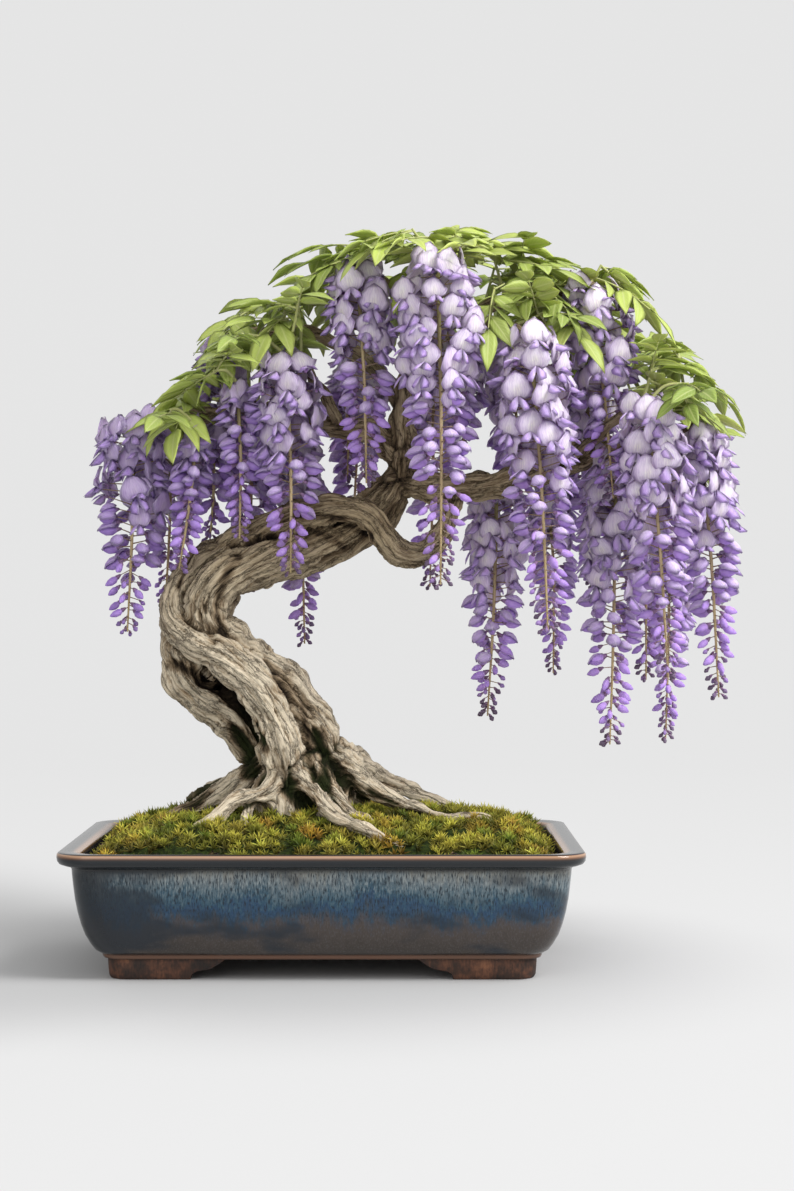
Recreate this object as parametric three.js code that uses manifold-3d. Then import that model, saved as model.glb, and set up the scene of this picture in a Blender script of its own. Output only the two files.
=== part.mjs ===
// Wisteria bonsai in a glazed tray: a twisted, leaning trunk with a domed crown of hanging flower
// clusters. Millimetres, +Z up, +X to the long side of the crown, -Y to the front.
// The tree is drawn in the tray's own frame, and the finished group is then moved so that the
// origin lies under the middle of the whole plant, on the surface that the tray stands on.
import * as THREE from 'three';
import { mergeVertices } from 'three/addons/utils/BufferGeometryUtils.js';
import Module from 'manifold-3d';

const wasm = await Module();
wasm.setup();
const { Manifold, Mesh } = wasm;

// Driving dimensions
const TRAY_LENGTH = 380;
const TRAY_DEPTH = 272;
const TRAY_HEIGHT = 95;
const FOOT_HEIGHT = 15;
const FLOOR_TOP = 24;
const OUTLINE_POINTS = 16;
const DRAIN_X = 80;
const DRAIN_RADIUS = 9;
const DRAIN_SIDES = 10;
const SCREEN_SIDE = 30;
const SCREEN_THICKNESS = 1.2;
const SCREEN_HOLE = 9;
const SOIL_EDGE = 81;
const SOIL_CROWN = 24;
const MOSS_DEPTH = 9;
const CLEARANCE = 0.35; // kept between two pieces that rest on each other
const LEAF_THICKNESS = 0.9;
const LEAF_STALK = 19;
const LEAFLETS_APART = 12;
const LEAVES_APART = 9; // down the shoot
const FLORET_ROWS_APART = 26;
const BUD_ROWS_APART = 12;
const SEED = 7;

const PAINT = {
  glaze: { color: '#35506b', roughness: 0.25 },
  screen: { color: '#1f2a22', roughness: 0.7 },
  soil: { color: '#3a2a1e', roughness: 1 },
  moss: { color: '#7c8a2b', roughness: 1 },
  bark: { color: '#8a7660', roughness: 0.9 },
  petal: { color: '#9a7fca', roughness: 0.6 },
  leaf: { color: '#7d9c3f', roughness: 0.6 },
};

const bonsai = new THREE.Group();

// A seeded draw between two values, the same at each run
let state = SEED;
function between(low, high) {
  state = (state * 1664525 + 1013904223) % 4294967296;
  return low + ((high - low) * state) / 4294967296;
}

function solid(geometry) {
  const bare = geometry.clone();
  bare.deleteAttribute('normal');
  bare.deleteAttribute('uv');
  const merged = mergeVertices(bare, 1e-4);
  return new Manifold(new Mesh({
    numProp: 3,
    vertProperties: new Float32Array(merged.attributes.position.array),
    triVerts: new Uint32Array(merged.index.array),
  }));
}

// What a cut leaves loose beside the piece is dropped
function largest(piece) {
  return piece.decompose().sort((a, b) => b.volume() - a.volume())[0];
}

function add(name, piece, paint) {
  const cut = piece.getMesh();
  const geometry = new THREE.BufferGeometry();
  geometry.setAttribute('position', new THREE.BufferAttribute(cut.vertProperties, 3));
  geometry.setIndex(new THREE.BufferAttribute(cut.triVerts, 1));
  geometry.computeVertexNormals();
  const mesh = new THREE.Mesh(geometry, new THREE.MeshStandardMaterial(PAINT[paint]));
  mesh.name = name;
  bonsai.add(mesh);
}

// The value at a share of a list, run straight between its entries
function along(list, share) {
  const place = share * (list.length - 1);
  const low = Math.min(Math.floor(place), list.length - 2);
  return THREE.MathUtils.lerp(list[low], list[low + 1], place - low);
}

function route(points) {
  const stops = points.map((p) => new THREE.Vector3(...p));
  return new THREE.CatmullRomCurve3(stops, false, 'centripetal');
}

// A closed cylinder bent along a route, as thick as its radii say, and swell thicker all over
function stem({ points, radii, sides, steps }, swell = 0) {
  const line = route(points);
  const frames = line.computeFrenetFrames(steps, false);
  const geometry = new THREE.CylinderGeometry(1, 1, 1, sides, steps);
  const position = geometry.attributes.position;
  for (let i = 0; i < position.count; i++) {
    const step = Math.round((0.5 - position.getY(i)) * steps);
    const radius = along(radii, step / steps) + swell;
    const at = line.getPointAt(step / steps)
      .addScaledVector(frames.normals[step], position.getX(i) * radius)
      .addScaledVector(frames.binormals[step], position.getZ(i) * radius);
    position.setXYZ(i, at.x, at.y, at.z);
  }
  return solid(geometry);
}

// The tray. Each row of a loft is a height, an inset from the rim and a corner radius.
const BODY_ROWS = [
  [FOOT_HEIGHT, 32, 16], [17, 31.5, 16], [20, 27.5, 18], [32, 22, 21], [46, 17, 23], [62, 13, 24],
  [86, 10, 25], [87.5, 2, 26], [91, 0, 26], [TRAY_HEIGHT, 1.5, 26],
];
const CAVITY_ROWS = [[FLOOR_TOP, 38, 14], [40, 27, 16], [62, 21.5, 18], [TRAY_HEIGHT + 40, 12, 20]];
const FOOT_ROWS = [[0, 36, 14], [2.5, 34, 15], [FOOT_HEIGHT + 1.5, 33, 16]];
const FOOT_WALL = 14;

function loft(rows, swell = 0) {
  const perCorner = OUTLINE_POINTS / 4;
  const geometry = new THREE.CylinderGeometry(1, 1, 1, OUTLINE_POINTS, rows.length - 1);
  const position = geometry.attributes.position;
  for (let i = 0; i < position.count; i++) {
    const [height, inset, corner] = rows[Math.round((position.getY(i) + 0.5) * (rows.length - 1))];
    const x = position.getX(i);
    const z = position.getZ(i);
    if (Math.hypot(x, z) < 0.5) {
      position.setXYZ(i, 0, 0, height);
      continue;
    }
    const turn = (Math.round((Math.atan2(-z, x) / Math.PI / 2) * OUTLINE_POINTS) + OUTLINE_POINTS) % OUTLINE_POINTS;
    const quarter = Math.floor(turn / perCorner);
    const angle = (quarter + (turn % perCorner) / (perCorner - 1)) * Math.PI / 2;
    const halfX = TRAY_LENGTH / 2 - inset - corner + swell;
    const halfY = TRAY_DEPTH / 2 - inset - corner + swell;
    const signX = quarter === 0 || quarter === 3 ? 1 : -1;
    const signY = quarter < 2 ? 1 : -1;
    position.setXYZ(
      i,
      signX * halfX + corner * Math.cos(angle),
      signY * halfY + corner * Math.sin(angle),
      height,
    );
  }
  return solid(geometry);
}

function block(length, depth, height, [x, y, z]) {
  const geometry = new THREE.BoxGeometry(length, depth, height);
  geometry.translate(x, y, z);
  return solid(geometry);
}

// The gap between two feet, cut through from side to side: a stepped bracket curve on each side
function footGap(halfTop, halfBottom) {
  const half = [[halfBottom, -1], [halfBottom, 0], [halfBottom - 5, 6], [halfBottom - 14, 7.5], [halfTop, FOOT_HEIGHT]];
  const outline = new THREE.Shape();
  half.forEach(([x, z], i) => (i ? outline.lineTo(x, z) : outline.moveTo(x, z)));
  [...half].reverse().forEach(([x, z]) => outline.lineTo(-x, z));
  const geometry = new THREE.ExtrudeGeometry(outline, { depth: TRAY_LENGTH, bevelEnabled: false });
  geometry.translate(0, 0, -TRAY_LENGTH / 2);
  geometry.rotateX(Math.PI / 2);
  return geometry;
}

function drainHole(side) {
  const geometry = new THREE.CylinderGeometry(DRAIN_RADIUS, DRAIN_RADIUS, 40, DRAIN_SIDES);
  geometry.rotateX(Math.PI / 2);
  geometry.translate(side * DRAIN_X, 0, FLOOR_TOP);
  return solid(geometry);
}

function tray() {
  const footHollow = loft(FOOT_ROWS.map(([height, inset]) => [height + (height ? 1 : -1), inset + FOOT_WALL, 6]));
  const feet = loft(FOOT_ROWS)
    .subtract(footHollow)
    .subtract(solid(footGap(68, 96)))
    .subtract(solid(footGap(26, 50).rotateZ(Math.PI / 2)));
  return loft(BODY_ROWS)
    .add(feet)
    .subtract(loft(CAVITY_ROWS))
    .subtract(drainHole(-1))
    .subtract(drainHole(1));
}

// A coarse plastic screen lies over each drain hole and keeps the soil in
function drainScreen(side) {
  const middle = FLOOR_TOP + CLEARANCE + SCREEN_THICKNESS / 2;
  let screen = block(SCREEN_SIDE, SCREEN_SIDE, SCREEN_THICKNESS, [side * DRAIN_X, 0, middle]);
  for (const [u, v] of [[-1, -1], [-1, 1], [1, -1], [1, 1]]) {
    const shift = SCREEN_HOLE / 2 + 1.5;
    const at = [side * DRAIN_X + u * shift, v * shift, middle];
    screen = screen.subtract(block(SCREEN_HOLE, SCREEN_HOLE, 9, at));
  }
  return screen;
}

// Soil and moss: a mound that is low at the tray's rim and higher under the tree
function mound(x, y) {
  const u = Math.min(1, Math.abs(x) / (TRAY_LENGTH / 2 - 16));
  const v = Math.min(1, Math.abs(y) / (TRAY_DEPTH / 2 - 16));
  return SOIL_EDGE + SOIL_CROWN * (1 - u ** 5) * (1 - v ** 2.4);
}

function cushion(x, y) {
  const wave = Math.sin(x / 13 + 1) * Math.cos(y / 11) + Math.sin(x / 29 - y / 17);
  return mound(x, y) + MOSS_DEPTH + 1.7 * wave;
}

// A block with its top raised to a height over each point
function heap(top, columns, rows) {
  const geometry = new THREE.BoxGeometry(TRAY_LENGTH, TRAY_DEPTH, 1, columns, rows, 1);
  const position = geometry.attributes.position;
  for (let i = 0; i < position.count; i++) {
    const x = position.getX(i);
    const y = position.getY(i);
    position.setZ(i, position.getZ(i) > 0 ? top(x, y) : FLOOR_TOP - 5);
  }
  return solid(geometry);
}

// The tree. The trunk is four stems grown round each other, all leaning left and then
// sweeping up to the right; the front one leaves the others in a loop and joins the right limb.
const STRANDS = [
  { // front stem, from the root crown round the outside of the bend to the loop
    points: [
      [-31, -16, 92], [-31, -22, 142], [-37, -26, 184], [-49, -29, 207], [-72, -26, 231], [-96, -17, 246],
      [-114, -6, 263], [-111, 2, 283], [-94, 3, 304], [-66, -5, 321], [-35, -14, 337], [-4, -20, 346],
      [19, -24, 347], [36, -27, 339], [45, -28, 326], [53, -25, 315], [67, -19, 311], [80, -11, 316],
      [92, -5, 332], [100, -1, 352], [108, 0, 364],
    ],
    radii: [23, 21, 19, 18, 17, 16, 16, 15, 15, 15, 14, 13.5, 12.5, 11, 10.5, 10, 10, 9.5, 9, 8, 7],
    sides: 7,
    steps: 20,
  },
  { // right stem, inside the bend
    points: [
      [0, -4, 92], [0, -9, 145], [-7, -12, 172], [-21, -14, 196], [-42, -12, 219], [-69, -10, 240],
      [-88, -12, 258], [-91, -16, 277], [-78, -19, 294], [-54, -16, 306], [-27, -8, 316], [0, -2, 325],
      [23, 2, 336], [42, 4, 351], [57, 3, 371], [61, 3, 388],
    ],
    radii: [25, 22, 20, 19, 18.5, 18, 18, 18, 17.5, 17, 16.5, 16, 15.5, 15, 14.5, 13],
    sides: 7,
    steps: 13,
  },
  { // left stem, behind the front one
    points: [
      [-48, 13, 92], [-49, 14, 142], [-60, 16, 165], [-75, 15, 188], [-97, 10, 204], [-111, 5, 223],
      [-115, 6, 246], [-105, 14, 268], [-86, 17, 285], [-60, 15, 298], [-28, 9, 308], [3, 6, 318],
      [28, 7, 330], [48, 8, 349], [60, 7, 372], [64, 6, 386],
    ],
    radii: [20, 17, 16, 16, 16, 15.5, 15, 15, 15, 15, 14.5, 14, 13.5, 13, 12.5, 11],
    sides: 7,
    steps: 12,
  },
  { // back stem
    points: [
      [-20, 20, 92], [-20, 24, 148], [-34, 22, 186], [-60, 18, 212], [-86, 16, 240], [-92, 20, 266],
      [-74, 24, 296], [-38, 22, 318], [2, 17, 334], [34, 12, 352], [54, 8, 374],
    ],
    radii: [24, 20, 19, 18, 17, 16, 16, 15, 14, 12, 10],
    sides: 7,
    steps: 8,
  },
];

// Each root ends in the moss, just above the soil
const ROOTS = [
  { points: [[-30, -24, 150], [-45, -34, 131], [-60, -38, 123], [-77, -48, 115], [-92, -60, 107], [-104, -68]], radii: [15, 11, 8.5, 8, 6, 3] },
  { points: [[-20, -24, 148], [-2, -44, 129], [14, -66, 115], [32, -84, 107], [48, -96, 99], [62, -103]], radii: [15, 10.5, 9, 8, 6, 3] },
  { points: [[4, -10, 160], [28, -16, 142], [50, -20, 128], [73, -21, 119], [100, -24, 112], [126, -24, 107], [144, -26]], radii: [18, 13, 10, 8, 6, 5, 3] },
  { points: [[8, 14, 156], [40, 26, 138], [66, 34, 124], [92, 40, 114], [112, 48]], radii: [16, 11, 9, 6.5, 3] },
  { points: [[-48, 6, 150], [-72, 8, 132], [-94, 8, 119], [-114, 4, 111], [-130, -2]], radii: [16, 14, 10, 6.5, 3] },
  { points: [[-50, 22, 138], [-76, 34, 128], [-98, 42, 122], [-114, 52, 110], [-124, 60]], radii: [14, 11, 10, 6.5, 3] },
  { points: [[-16, 26, 146], [-18, 52, 126], [-30, 74, 114], [-38, 90, 103], [-42, 100]], radii: [16, 11, 9, 6, 3] },
  { points: [[0, 22, 140], [22, 50, 122], [38, 72, 112], [54, 86]], radii: [14, 10, 8, 3] },
].map(({ points, radii }) => {
  const end = points[points.length - 1];
  end[2] = mound(end[0], end[1]) + 4.5;
  return { points, radii, sides: 5, steps: 4 };
});

// Limbs in the order that they leave each other
const LIMBS = {
  apex: { points: [[60, 4, 378], [58, 4, 420], [66, 0, 458], [78, -12, 492], [88, -26, 514]], radii: [13, 10, 8, 6, 4.5] },
  left: { points: [[60, 3, 380], [42, 6, 404], [14, 4, 409], [-24, 2, 416], [-64, 0, 421], [-104, -4, 420], [-148, -10, 416]], radii: [11, 9, 8, 6.5, 5.5, 4.5, 3] },
  right: { points: [[54, 3, 370], [88, 0, 364], [124, -2, 365], [164, -4, 375], [206, -10, 388], [248, -18, 404], [287, -22, 411]], radii: [14, 11, 10, 8.5, 7, 5.5, 3.5] },
  frontHigh: { points: [[70, -2, 466], [64, -20, 494], [46, -38, 518], [27, -50, 527]], radii: [6, 5, 4, 3] },
  front: { points: [[80, -14, 494], [84, -40, 514], [86, -70, 527], [85, -88, 530]], radii: [5.5, 5, 4, 3] },
  highRight: { points: [[70, -3, 470], [104, -10, 494], [146, -20, 508], [184, -28, 515], [206, -31, 516]], radii: [7.5, 6.5, 5.5, 4.5, 3.5] },
  frontRight: { points: [[98, -8, 490], [122, -44, 488], [142, -72, 480], [154, -86, 473]], radii: [5.5, 4.5, 4, 3] },
  lowFront: { points: [[180, -6, 380], [206, -34, 402], [230, -60, 420], [241, -72, 424]], radii: [6, 5, 4, 3] },
  leftFront: { points: [[12, 4, 409], [-4, -16, 440], [-18, -34, 458], [-28, -45, 461]], radii: [6, 4.5, 4, 3] },
  leftSpur: { points: [[-50, 1, 419], [-58, -20, 436], [-65, -38, 440]], radii: [4.5, 3.5, 2.5] },
  farLeftSpur: { points: [[-86, -3, 420], [-94, -18, 414], [-98, -32, 411]], radii: [4, 3, 2.5] },
  backLeft: { points: [[58, 6, 428], [34, 30, 464], [-4, 44, 486], [-46, 42, 490], [-82, 30, 485]], radii: [7.5, 6, 5, 4, 3] },
  lowBackLeft: { points: [[16, 5, 409], [-10, 40, 424], [-50, 68, 432], [-96, 74, 428], [-126, 62, 418]], radii: [6.5, 5.5, 5, 4, 3] },
  back: { points: [[63, 2, 444], [70, 40, 472], [78, 76, 492], [84, 106, 498]], radii: [7, 5.5, 4.5, 3] },
  highBack: { points: [[68, 30, 465], [116, 56, 488], [164, 80, 490], [208, 88, 476]], radii: [6, 5.5, 4.5, 3] },
  lowBack: { points: [[150, -3, 370], [168, 40, 392], [200, 80, 402], [240, 98, 392], [274, 100, 376]], radii: [8, 6, 5, 4, 3] },
  backSpur: { points: [[104, -1, 364], [118, 26, 374], [134, 50, 372]], radii: [6, 4.5, 3] },
};
Object.values(LIMBS).forEach((limb) => Object.assign(limb, { sides: 4, steps: limb.points.length }));

const WOOD = [...STRANDS, ...ROOTS, ...Object.values(LIMBS)];

function wood(swell) {
  return largest(Manifold.union(WOOD.map((part) => stem(part, swell))));
}

// Spots that hold wood, leaves and florets, so that a new floret stays clear of another piece
const spots = [];

function hold(at, radius, owner) {
  spots.push({ at, radius, owner });
}

function isFree(at, radius, owner) {
  return !spots.some((s) => s.owner !== owner && s.at.distanceTo(at) < s.radius + radius);
}

const limbStops = [];
for (const part of WOOD) {
  const line = route(part.points);
  const count = Math.ceil(line.getLength() / 5);
  for (let i = 0; i <= count; i++) {
    const at = line.getPointAt(i / count);
    const radius = along(part.radii, i / count);
    hold(at, radius, 'tree');
    if (!STRANDS.includes(part) && !ROOTS.includes(part)) limbStops.push({ at, radius });
  }
}

// The point of a limb's middle line that lies nearest to a place
function nearestLimb(place) {
  return limbStops.reduce((best, s) => (s.at.distanceTo(place) < best.at.distanceTo(place) ? s : best)).at.clone();
}

// Leafy shoots. Each leaf is a direction seen from above (0 to the right, 270 to the front), a
// rise, and its number of leaflet pairs. A shoot leaves its limb at root and ends at tip.
const SHOOTS = [
  { root: [-104, -4, 420], tip: [-108, -12, 434], leaves: [[128, 8, 2], [214, -8, 3]] },
  { root: [-78, -1, 420], tip: [-80, -12, 450], leaves: [[162, 16, 3]] },
  { root: [-66, 36, 489], tip: [-62, 24, 506], leaves: [[170, 6, 3], [222, -16, 2]] },
  { root: [40, -43, 522], tip: [22, -46, 546], leaves: [[150, 10, 2], [190, -12, 3]] },
  { root: [80, -14, 496], tip: [72, -20, 552], leaves: [[110, 30, 2], [182, 12, 3], [250, -12, 2]] },
  { root: [88, -24, 512], tip: [96, -26, 554], leaves: [[70, 28, 2], [12, 20, 3]] },
  { root: [150, -21, 509], tip: [160, -30, 528], leaves: [[56, 8, 3], [302, -14, 3]] },
  { root: [124, -46, 488], tip: [128, -56, 512], leaves: [[262, -26, 3]] },
  { root: [200, -30, 516], tip: [210, -32, 532], leaves: [[10, 6, 3], [332, -18, 3]] },
  { root: [236, -66, 422], tip: [246, -58, 452], leaves: [[24, 16, 3], [344, -10, 3]] },
  { root: [248, -18, 404], tip: [260, -12, 432], leaves: [[38, 16, 2], [336, 5, 2]] },
  { root: [84, 100, 497], tip: [86, 98, 520], leaves: [[92, 4, 2], [146, -14, 2]] },
  { root: [160, 78, 490], tip: [164, 80, 514], leaves: [[78, 4, 2], [328, -6, 2]] },
  { root: [204, 88, 478], tip: [216, 84, 498], leaves: [[36, 0, 2], [350, -16, 2]] },
  { root: [-30, 43, 489], tip: [-24, 56, 512], leaves: [[108, 6, 2], [160, -12, 2]] },
  { root: [-96, 74, 429], tip: [-98, 78, 452], leaves: [[120, 6, 2], [176, -12, 2]] },
  { root: [262, 100, 383], tip: [270, 98, 406], leaves: [[64, 4, 2], [10, -14, 2]] },
  { root: [-18, -34, 458], tip: [-20, -30, 502], leaves: [[228, -24, 2], [108, -24, 2]] },
  { root: [-58, -20, 436], tip: [-62, -12, 476], leaves: [[228, -24, 2], [344, 20, 2]] },
  { root: [14, 37, 475], tip: [20, 34, 520], leaves: [[120, -14, 2], [228, 20, 2]] },
  { root: [70, 40, 472], tip: [62, 46, 522], leaves: [[120, 8, 2], [24, 8, 2]] },
  { root: [116, 56, 488], tip: [132, 40, 540], leaves: [[12, 8, 2], [312, -24, 2]] },
  { root: [170, -25, 513], tip: [186, 8, 512], leaves: [[0, -24, 2], [204, -24, 2]] },
  { root: [186, 84, 484], tip: [216, 56, 476], leaves: [[252, -24, 2], [336, -24, 2]] },
  { root: [140, -70, 481], tip: [170, -50, 496], leaves: [[312, -24, 2], [60, -24, 2]] },
  { root: [86, -64, 525], tip: [66, -80, 552], leaves: [[204, -14, 2]] },
];

// One feathered leaf lying flat along +X: its outline runs down one side of the rib, round each
// leaflet, and back up the other side
function leafOutline(pairs) {
  const rib = 1.1;
  const side = [];
  for (let i = 0; i < pairs; i++) {
    const base = LEAF_STALK + i * LEAFLETS_APART;
    const length = i === 0 ? 25 : 29;
    const lean = THREE.MathUtils.degToRad(58 - i * 5);
    const point = (reach, width) => [
      base + reach * Math.cos(lean) + width * Math.sin(lean),
      rib + reach * Math.sin(lean) - width * Math.cos(lean),
    ];
    side.push([base - 1, rib], point(length * 0.42, -5), point(length, 0), point(length * 0.42, 4.6));
  }
  const end = LEAF_STALK + pairs * LEAFLETS_APART;
  side.push([end - 3, rib], [end + 13, 5.2]);
  const outline = new THREE.Shape();
  outline.moveTo(-0.8, 0);
  side.forEach(([x, y]) => outline.lineTo(x, y));
  outline.lineTo(end + 32, 0);
  [...side].reverse().forEach(([x, y]) => outline.lineTo(x, -y));
  return outline;
}

// The leaves of a shoot leave it one below the other, from its tip down
function placeLeaf({ root, tip, leaves }, i) {
  const [azimuth, rise] = leaves[i];
  const heading = THREE.MathUtils.degToRad(azimuth);
  const tilt = THREE.MathUtils.degToRad(rise);
  const end = new THREE.Vector3(...tip);
  const down = new THREE.Vector3(...root).sub(end).setLength(2 + i * LEAVES_APART);
  return new THREE.Matrix4().makeTranslation(...end.add(down))
    .multiply(new THREE.Matrix4().makeRotationZ(heading))
    .multiply(new THREE.Matrix4().makeRotationY(-tilt));
}

// The leaf arches down towards its end and its leaflets droop to both sides
function arch(x, y) {
  return -0.0042 * x * x - 0.012 * y * y;
}

function leaf(growth, i) {
  const geometry = new THREE.ExtrudeGeometry(leafOutline(growth.leaves[i][2]), {
    depth: LEAF_THICKNESS,
    bevelEnabled: false,
  });
  const position = geometry.attributes.position;
  for (let p = 0; p < position.count; p++) {
    const x = position.getX(p);
    const y = position.getY(p);
    position.setZ(p, position.getZ(p) - LEAF_THICKNESS / 2 + arch(x, y));
  }
  geometry.applyMatrix4(placeLeaf(growth, i));
  return solid(geometry);
}

function holdLeaf(growth, i, owner) {
  const matrix = placeLeaf(growth, i);
  const length = LEAF_STALK + growth.leaves[i][2] * LEAFLETS_APART + 32;
  for (let x = 4; x < length; x += 6) {
    for (const y of x > LEAF_STALK && x < length - 16 ? [-20, -13, -6, 0, 6, 13, 20] : [0]) {
      hold(new THREE.Vector3(x, y, arch(x, y)).applyMatrix4(matrix), 3.5, owner);
    }
  }
}

function shoot(growth, room) {
  const twig = stem({ points: [growth.root, growth.tip], radii: [2.4, 2], sides: 4, steps: 1 });
  return largest(Manifold.union([twig, ...growth.leaves.map((_, i) => leaf(growth, i))]).subtract(room));
}

// Hanging flower clusters: top is where the florets begin, under a limb, and tip is the last bud
const CLUSTERS = [
  { top: [-148, -10, 406], tip: [-152, -12, 253], width: 65 },
  { top: [-98, -32, 399], tip: [-110, -36, 301], width: 28 },
  { top: [-87, 2, 401], tip: [-90, 6, 324], width: 28 },
  { top: [-65, -40, 429], tip: [-64, -42, 324], width: 32 },
  { top: [-28, -47, 449], tip: [-25, -48, 298], width: 60 },
  { top: [26, -54, 518], tip: [32, -56, 365], width: 54 },
  { top: [85, -90, 520], tip: [87, -92, 289], width: 68 },
  { top: [154, -88, 462], tip: [166, -90, 255], width: 66 },
  { top: [203, -31, 506], tip: [218, -46, 354], width: 62 },
  { top: [222, -8, 377], tip: [219, -6, 166], width: 60 },
  { top: [241, -74, 413], tip: [256, -76, 220], width: 58 },
  { top: [287, -22, 400], tip: [301, -20, 203], width: 52 },
  { top: [134, 52, 359], tip: [127, 54, 185], width: 54 },
  { top: [181, 110, 376], tip: [183, 112, 217], width: 44 },
  { top: [276, 100, 360], tip: [274, 102, 163], width: 48 },
  { top: [-26, 66, 396], tip: [-19, 68, 242], width: 44 },
  { top: [14, 38, 450], tip: [16, 38, 372], width: 30 },
  { top: [-82, 30, 472], tip: [-79, 32, 370], width: 44 },
  { top: [84, 108, 484], tip: [82, 112, 288], width: 60 },
  { top: [24, 88, 470], tip: [18, 92, 318], width: 50 },
  { top: [150, 82, 478], tip: [150, 78, 330], width: 54 },
  { top: [208, 90, 462], tip: [214, 92, 286], width: 54 },
  { top: [-62, 74, 418], tip: [-66, 78, 286], width: 46 },
  { top: [-126, 62, 404], tip: [-130, 64, 276], width: 50 },
  { top: [248, 40, 380], tip: [252, 44, 214], width: 50 },
  { top: [108, 20, 470], tip: [106, 16, 392], width: 40 },
];

// How wide a cluster is at a share of its length: full shoulders, then a long taper of buds
const CLUSTER_FORM = [0.86, 1, 1, 0.92, 0.8, 0.66, 0.52, 0.4, 0.26];

// A cluster is one skin: a slim three-sided stalk whose faces are drawn out, row by row, into
// florets with two upper corners and a keel, and near its end into pointed buds
function cluster({ top, tip, width }, owner, room) {
  const start = new THREE.Vector3(...top);
  const end = new THREE.Vector3(...tip);
  const limb = nearestLimb(start.clone().setZ(start.z + 8));
  const line = new THREE.CatmullRomCurve3([
    limb,
    limb.clone().lerp(start, 0.6),
    start,
    start.clone().lerp(end, 0.5).add(new THREE.Vector3(1.5, 0, 0)),
    end,
  ], false, 'centripetal');
  const total = line.getLength();
  const bare = limb.distanceTo(start);
  const rings = [];
  const vertices = [];
  const faces = [];

  function ring(distance, turn, radius) {
    const share = Math.min(distance / total, 1);
    const down = line.getTangentAt(share);
    const across = new THREE.Vector3(1, 0, 0).cross(down).normalize().cross(down).negate();
    const binormal = down.clone().cross(across);
    const centre = line.getPointAt(share);
    const corners = [0, 1, 2].map((j) => {
      const angle = turn + (j * 2 * Math.PI) / 3;
      const at = centre.clone()
        .addScaledVector(across, radius * Math.cos(angle))
        .addScaledVector(binormal, radius * Math.sin(angle));
      return vertices.push(at) - 1;
    });
    return { centre, down, across, binormal, turn, corners, share: (distance - bare) / (total - bare) };
  }

  // The stalk's faces between two rings
  function join(a, b) {
    for (let j = 0; j < 3; j++) {
      const k = (j + 1) % 3;
      faces.push([a.corners[j], a.corners[k], b.corners[j]]);
      faces.push([a.corners[k], b.corners[k], b.corners[j]]);
    }
  }

  function outward(a, j) {
    const angle = a.turn + ((j + 0.5) * 2 * Math.PI) / 3 + between(-0.16, 0.16);
    return {
      out: a.across.clone().multiplyScalar(Math.cos(angle)).addScaledVector(a.binormal, Math.sin(angle)),
      beside: a.across.clone().multiplyScalar(-Math.sin(angle)).addScaledVector(a.binormal, Math.cos(angle)),
    };
  }

  function floret(a, b, j) {
    const k = (j + 1) % 3;
    const { out, beside } = outward(a, j);
    const form = along(CLUSTER_FORM, a.share) * between(0.9, 1.08);
    const grown = Math.min(1, 0.35 + form * 0.75);
    let reach = (width / 2) * form;
    let half = Math.min(12, 5 + reach * 0.25) * grown;
    for (const less of [1, 0.8, 0.6, 0.42, 0.28]) {
      const heart = a.centre.clone().addScaledVector(out, reach * less * 0.8).addScaledVector(a.down, 4);
      if (isFree(heart, half * less + 1.5, owner)) {
        reach *= less;
        half *= less;
        hold(heart, half + 1.5, owner);
        break;
      }
      if (less === 0.28) {
        reach = 6;
        half = 2;
      }
    }
    const corner = (away, aside, lower) => vertices.push(
      a.centre.clone().addScaledVector(out, away).addScaledVector(beside, aside).addScaledVector(a.down, lower),
    ) - 1;
    const right = corner(reach * 0.94, -half, -half * 0.35);
    const left = corner(reach * 0.94, half, -half * 0.35);
    const keel = corner(reach * 0.8, 0, half * 1.5);
    const throat = corner(reach * 0.72, 0, half * 0.2);
    const [aj, ak, bj, bk] = [a.corners[j], a.corners[k], b.corners[j], b.corners[k]];
    faces.push([aj, ak, left], [aj, left, right]);
    faces.push([ak, bk, keel], [ak, keel, left]);
    faces.push([bk, bj, keel]);
    faces.push([bj, aj, right], [bj, right, keel]);
    faces.push([right, left, throat], [left, keel, throat], [keel, right, throat]);
  }

  function bud(a, b, j) {
    const k = (j + 1) % 3;
    const { out } = outward(a, j);
    const reach = Math.max(5, (width / 2) * along(CLUSTER_FORM, a.share) * between(0.85, 1.05));
    const point = vertices.push(a.centre.clone().addScaledVector(out, reach).addScaledVector(a.down, 5)) - 1;
    const [aj, ak, bj, bk] = [a.corners[j], a.corners[k], b.corners[j], b.corners[k]];
    faces.push([aj, ak, point], [ak, bk, point], [bk, bj, point], [bj, aj, point]);
  }

  rings.push(ring(0, 0, 2));
  rings.push(ring(bare * 0.6, 0, 1.8));
  join(rings[0], rings[1]);
  faces.push([rings[0].corners[2], rings[0].corners[1], rings[0].corners[0]]);
  let distance = Math.max(bare, 8);
  let turn = 0;
  const budsFrom = bare + (total - bare) * 0.74;
  while (distance < total - 8) {
    const inBud = distance > budsFrom;
    const radius = inBud ? 1.5 : 2.1;
    const upper = ring(distance, turn, radius);
    const lower = ring(distance + (inBud ? 2.5 : 4), turn, radius);
    join(rings[rings.length - 1], upper);
    for (let j = 0; j < 3; j++) (inBud ? bud : floret)(upper, lower, j);
    rings.push(upper, lower);
    distance += inBud ? BUD_ROWS_APART : FLORET_ROWS_APART;
    turn += Math.PI / 3;
  }
  const last = rings[rings.length - 1];
  const point = vertices.push(end.clone()) - 1;
  for (let j = 0; j < 3; j++) faces.push([last.corners[j], last.corners[(j + 1) % 3], point]);

  const geometry = new THREE.BufferGeometry().setFromPoints(vertices);
  geometry.setIndex(faces.flat());
  return largest(solid(geometry).subtract(room));
}

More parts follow.
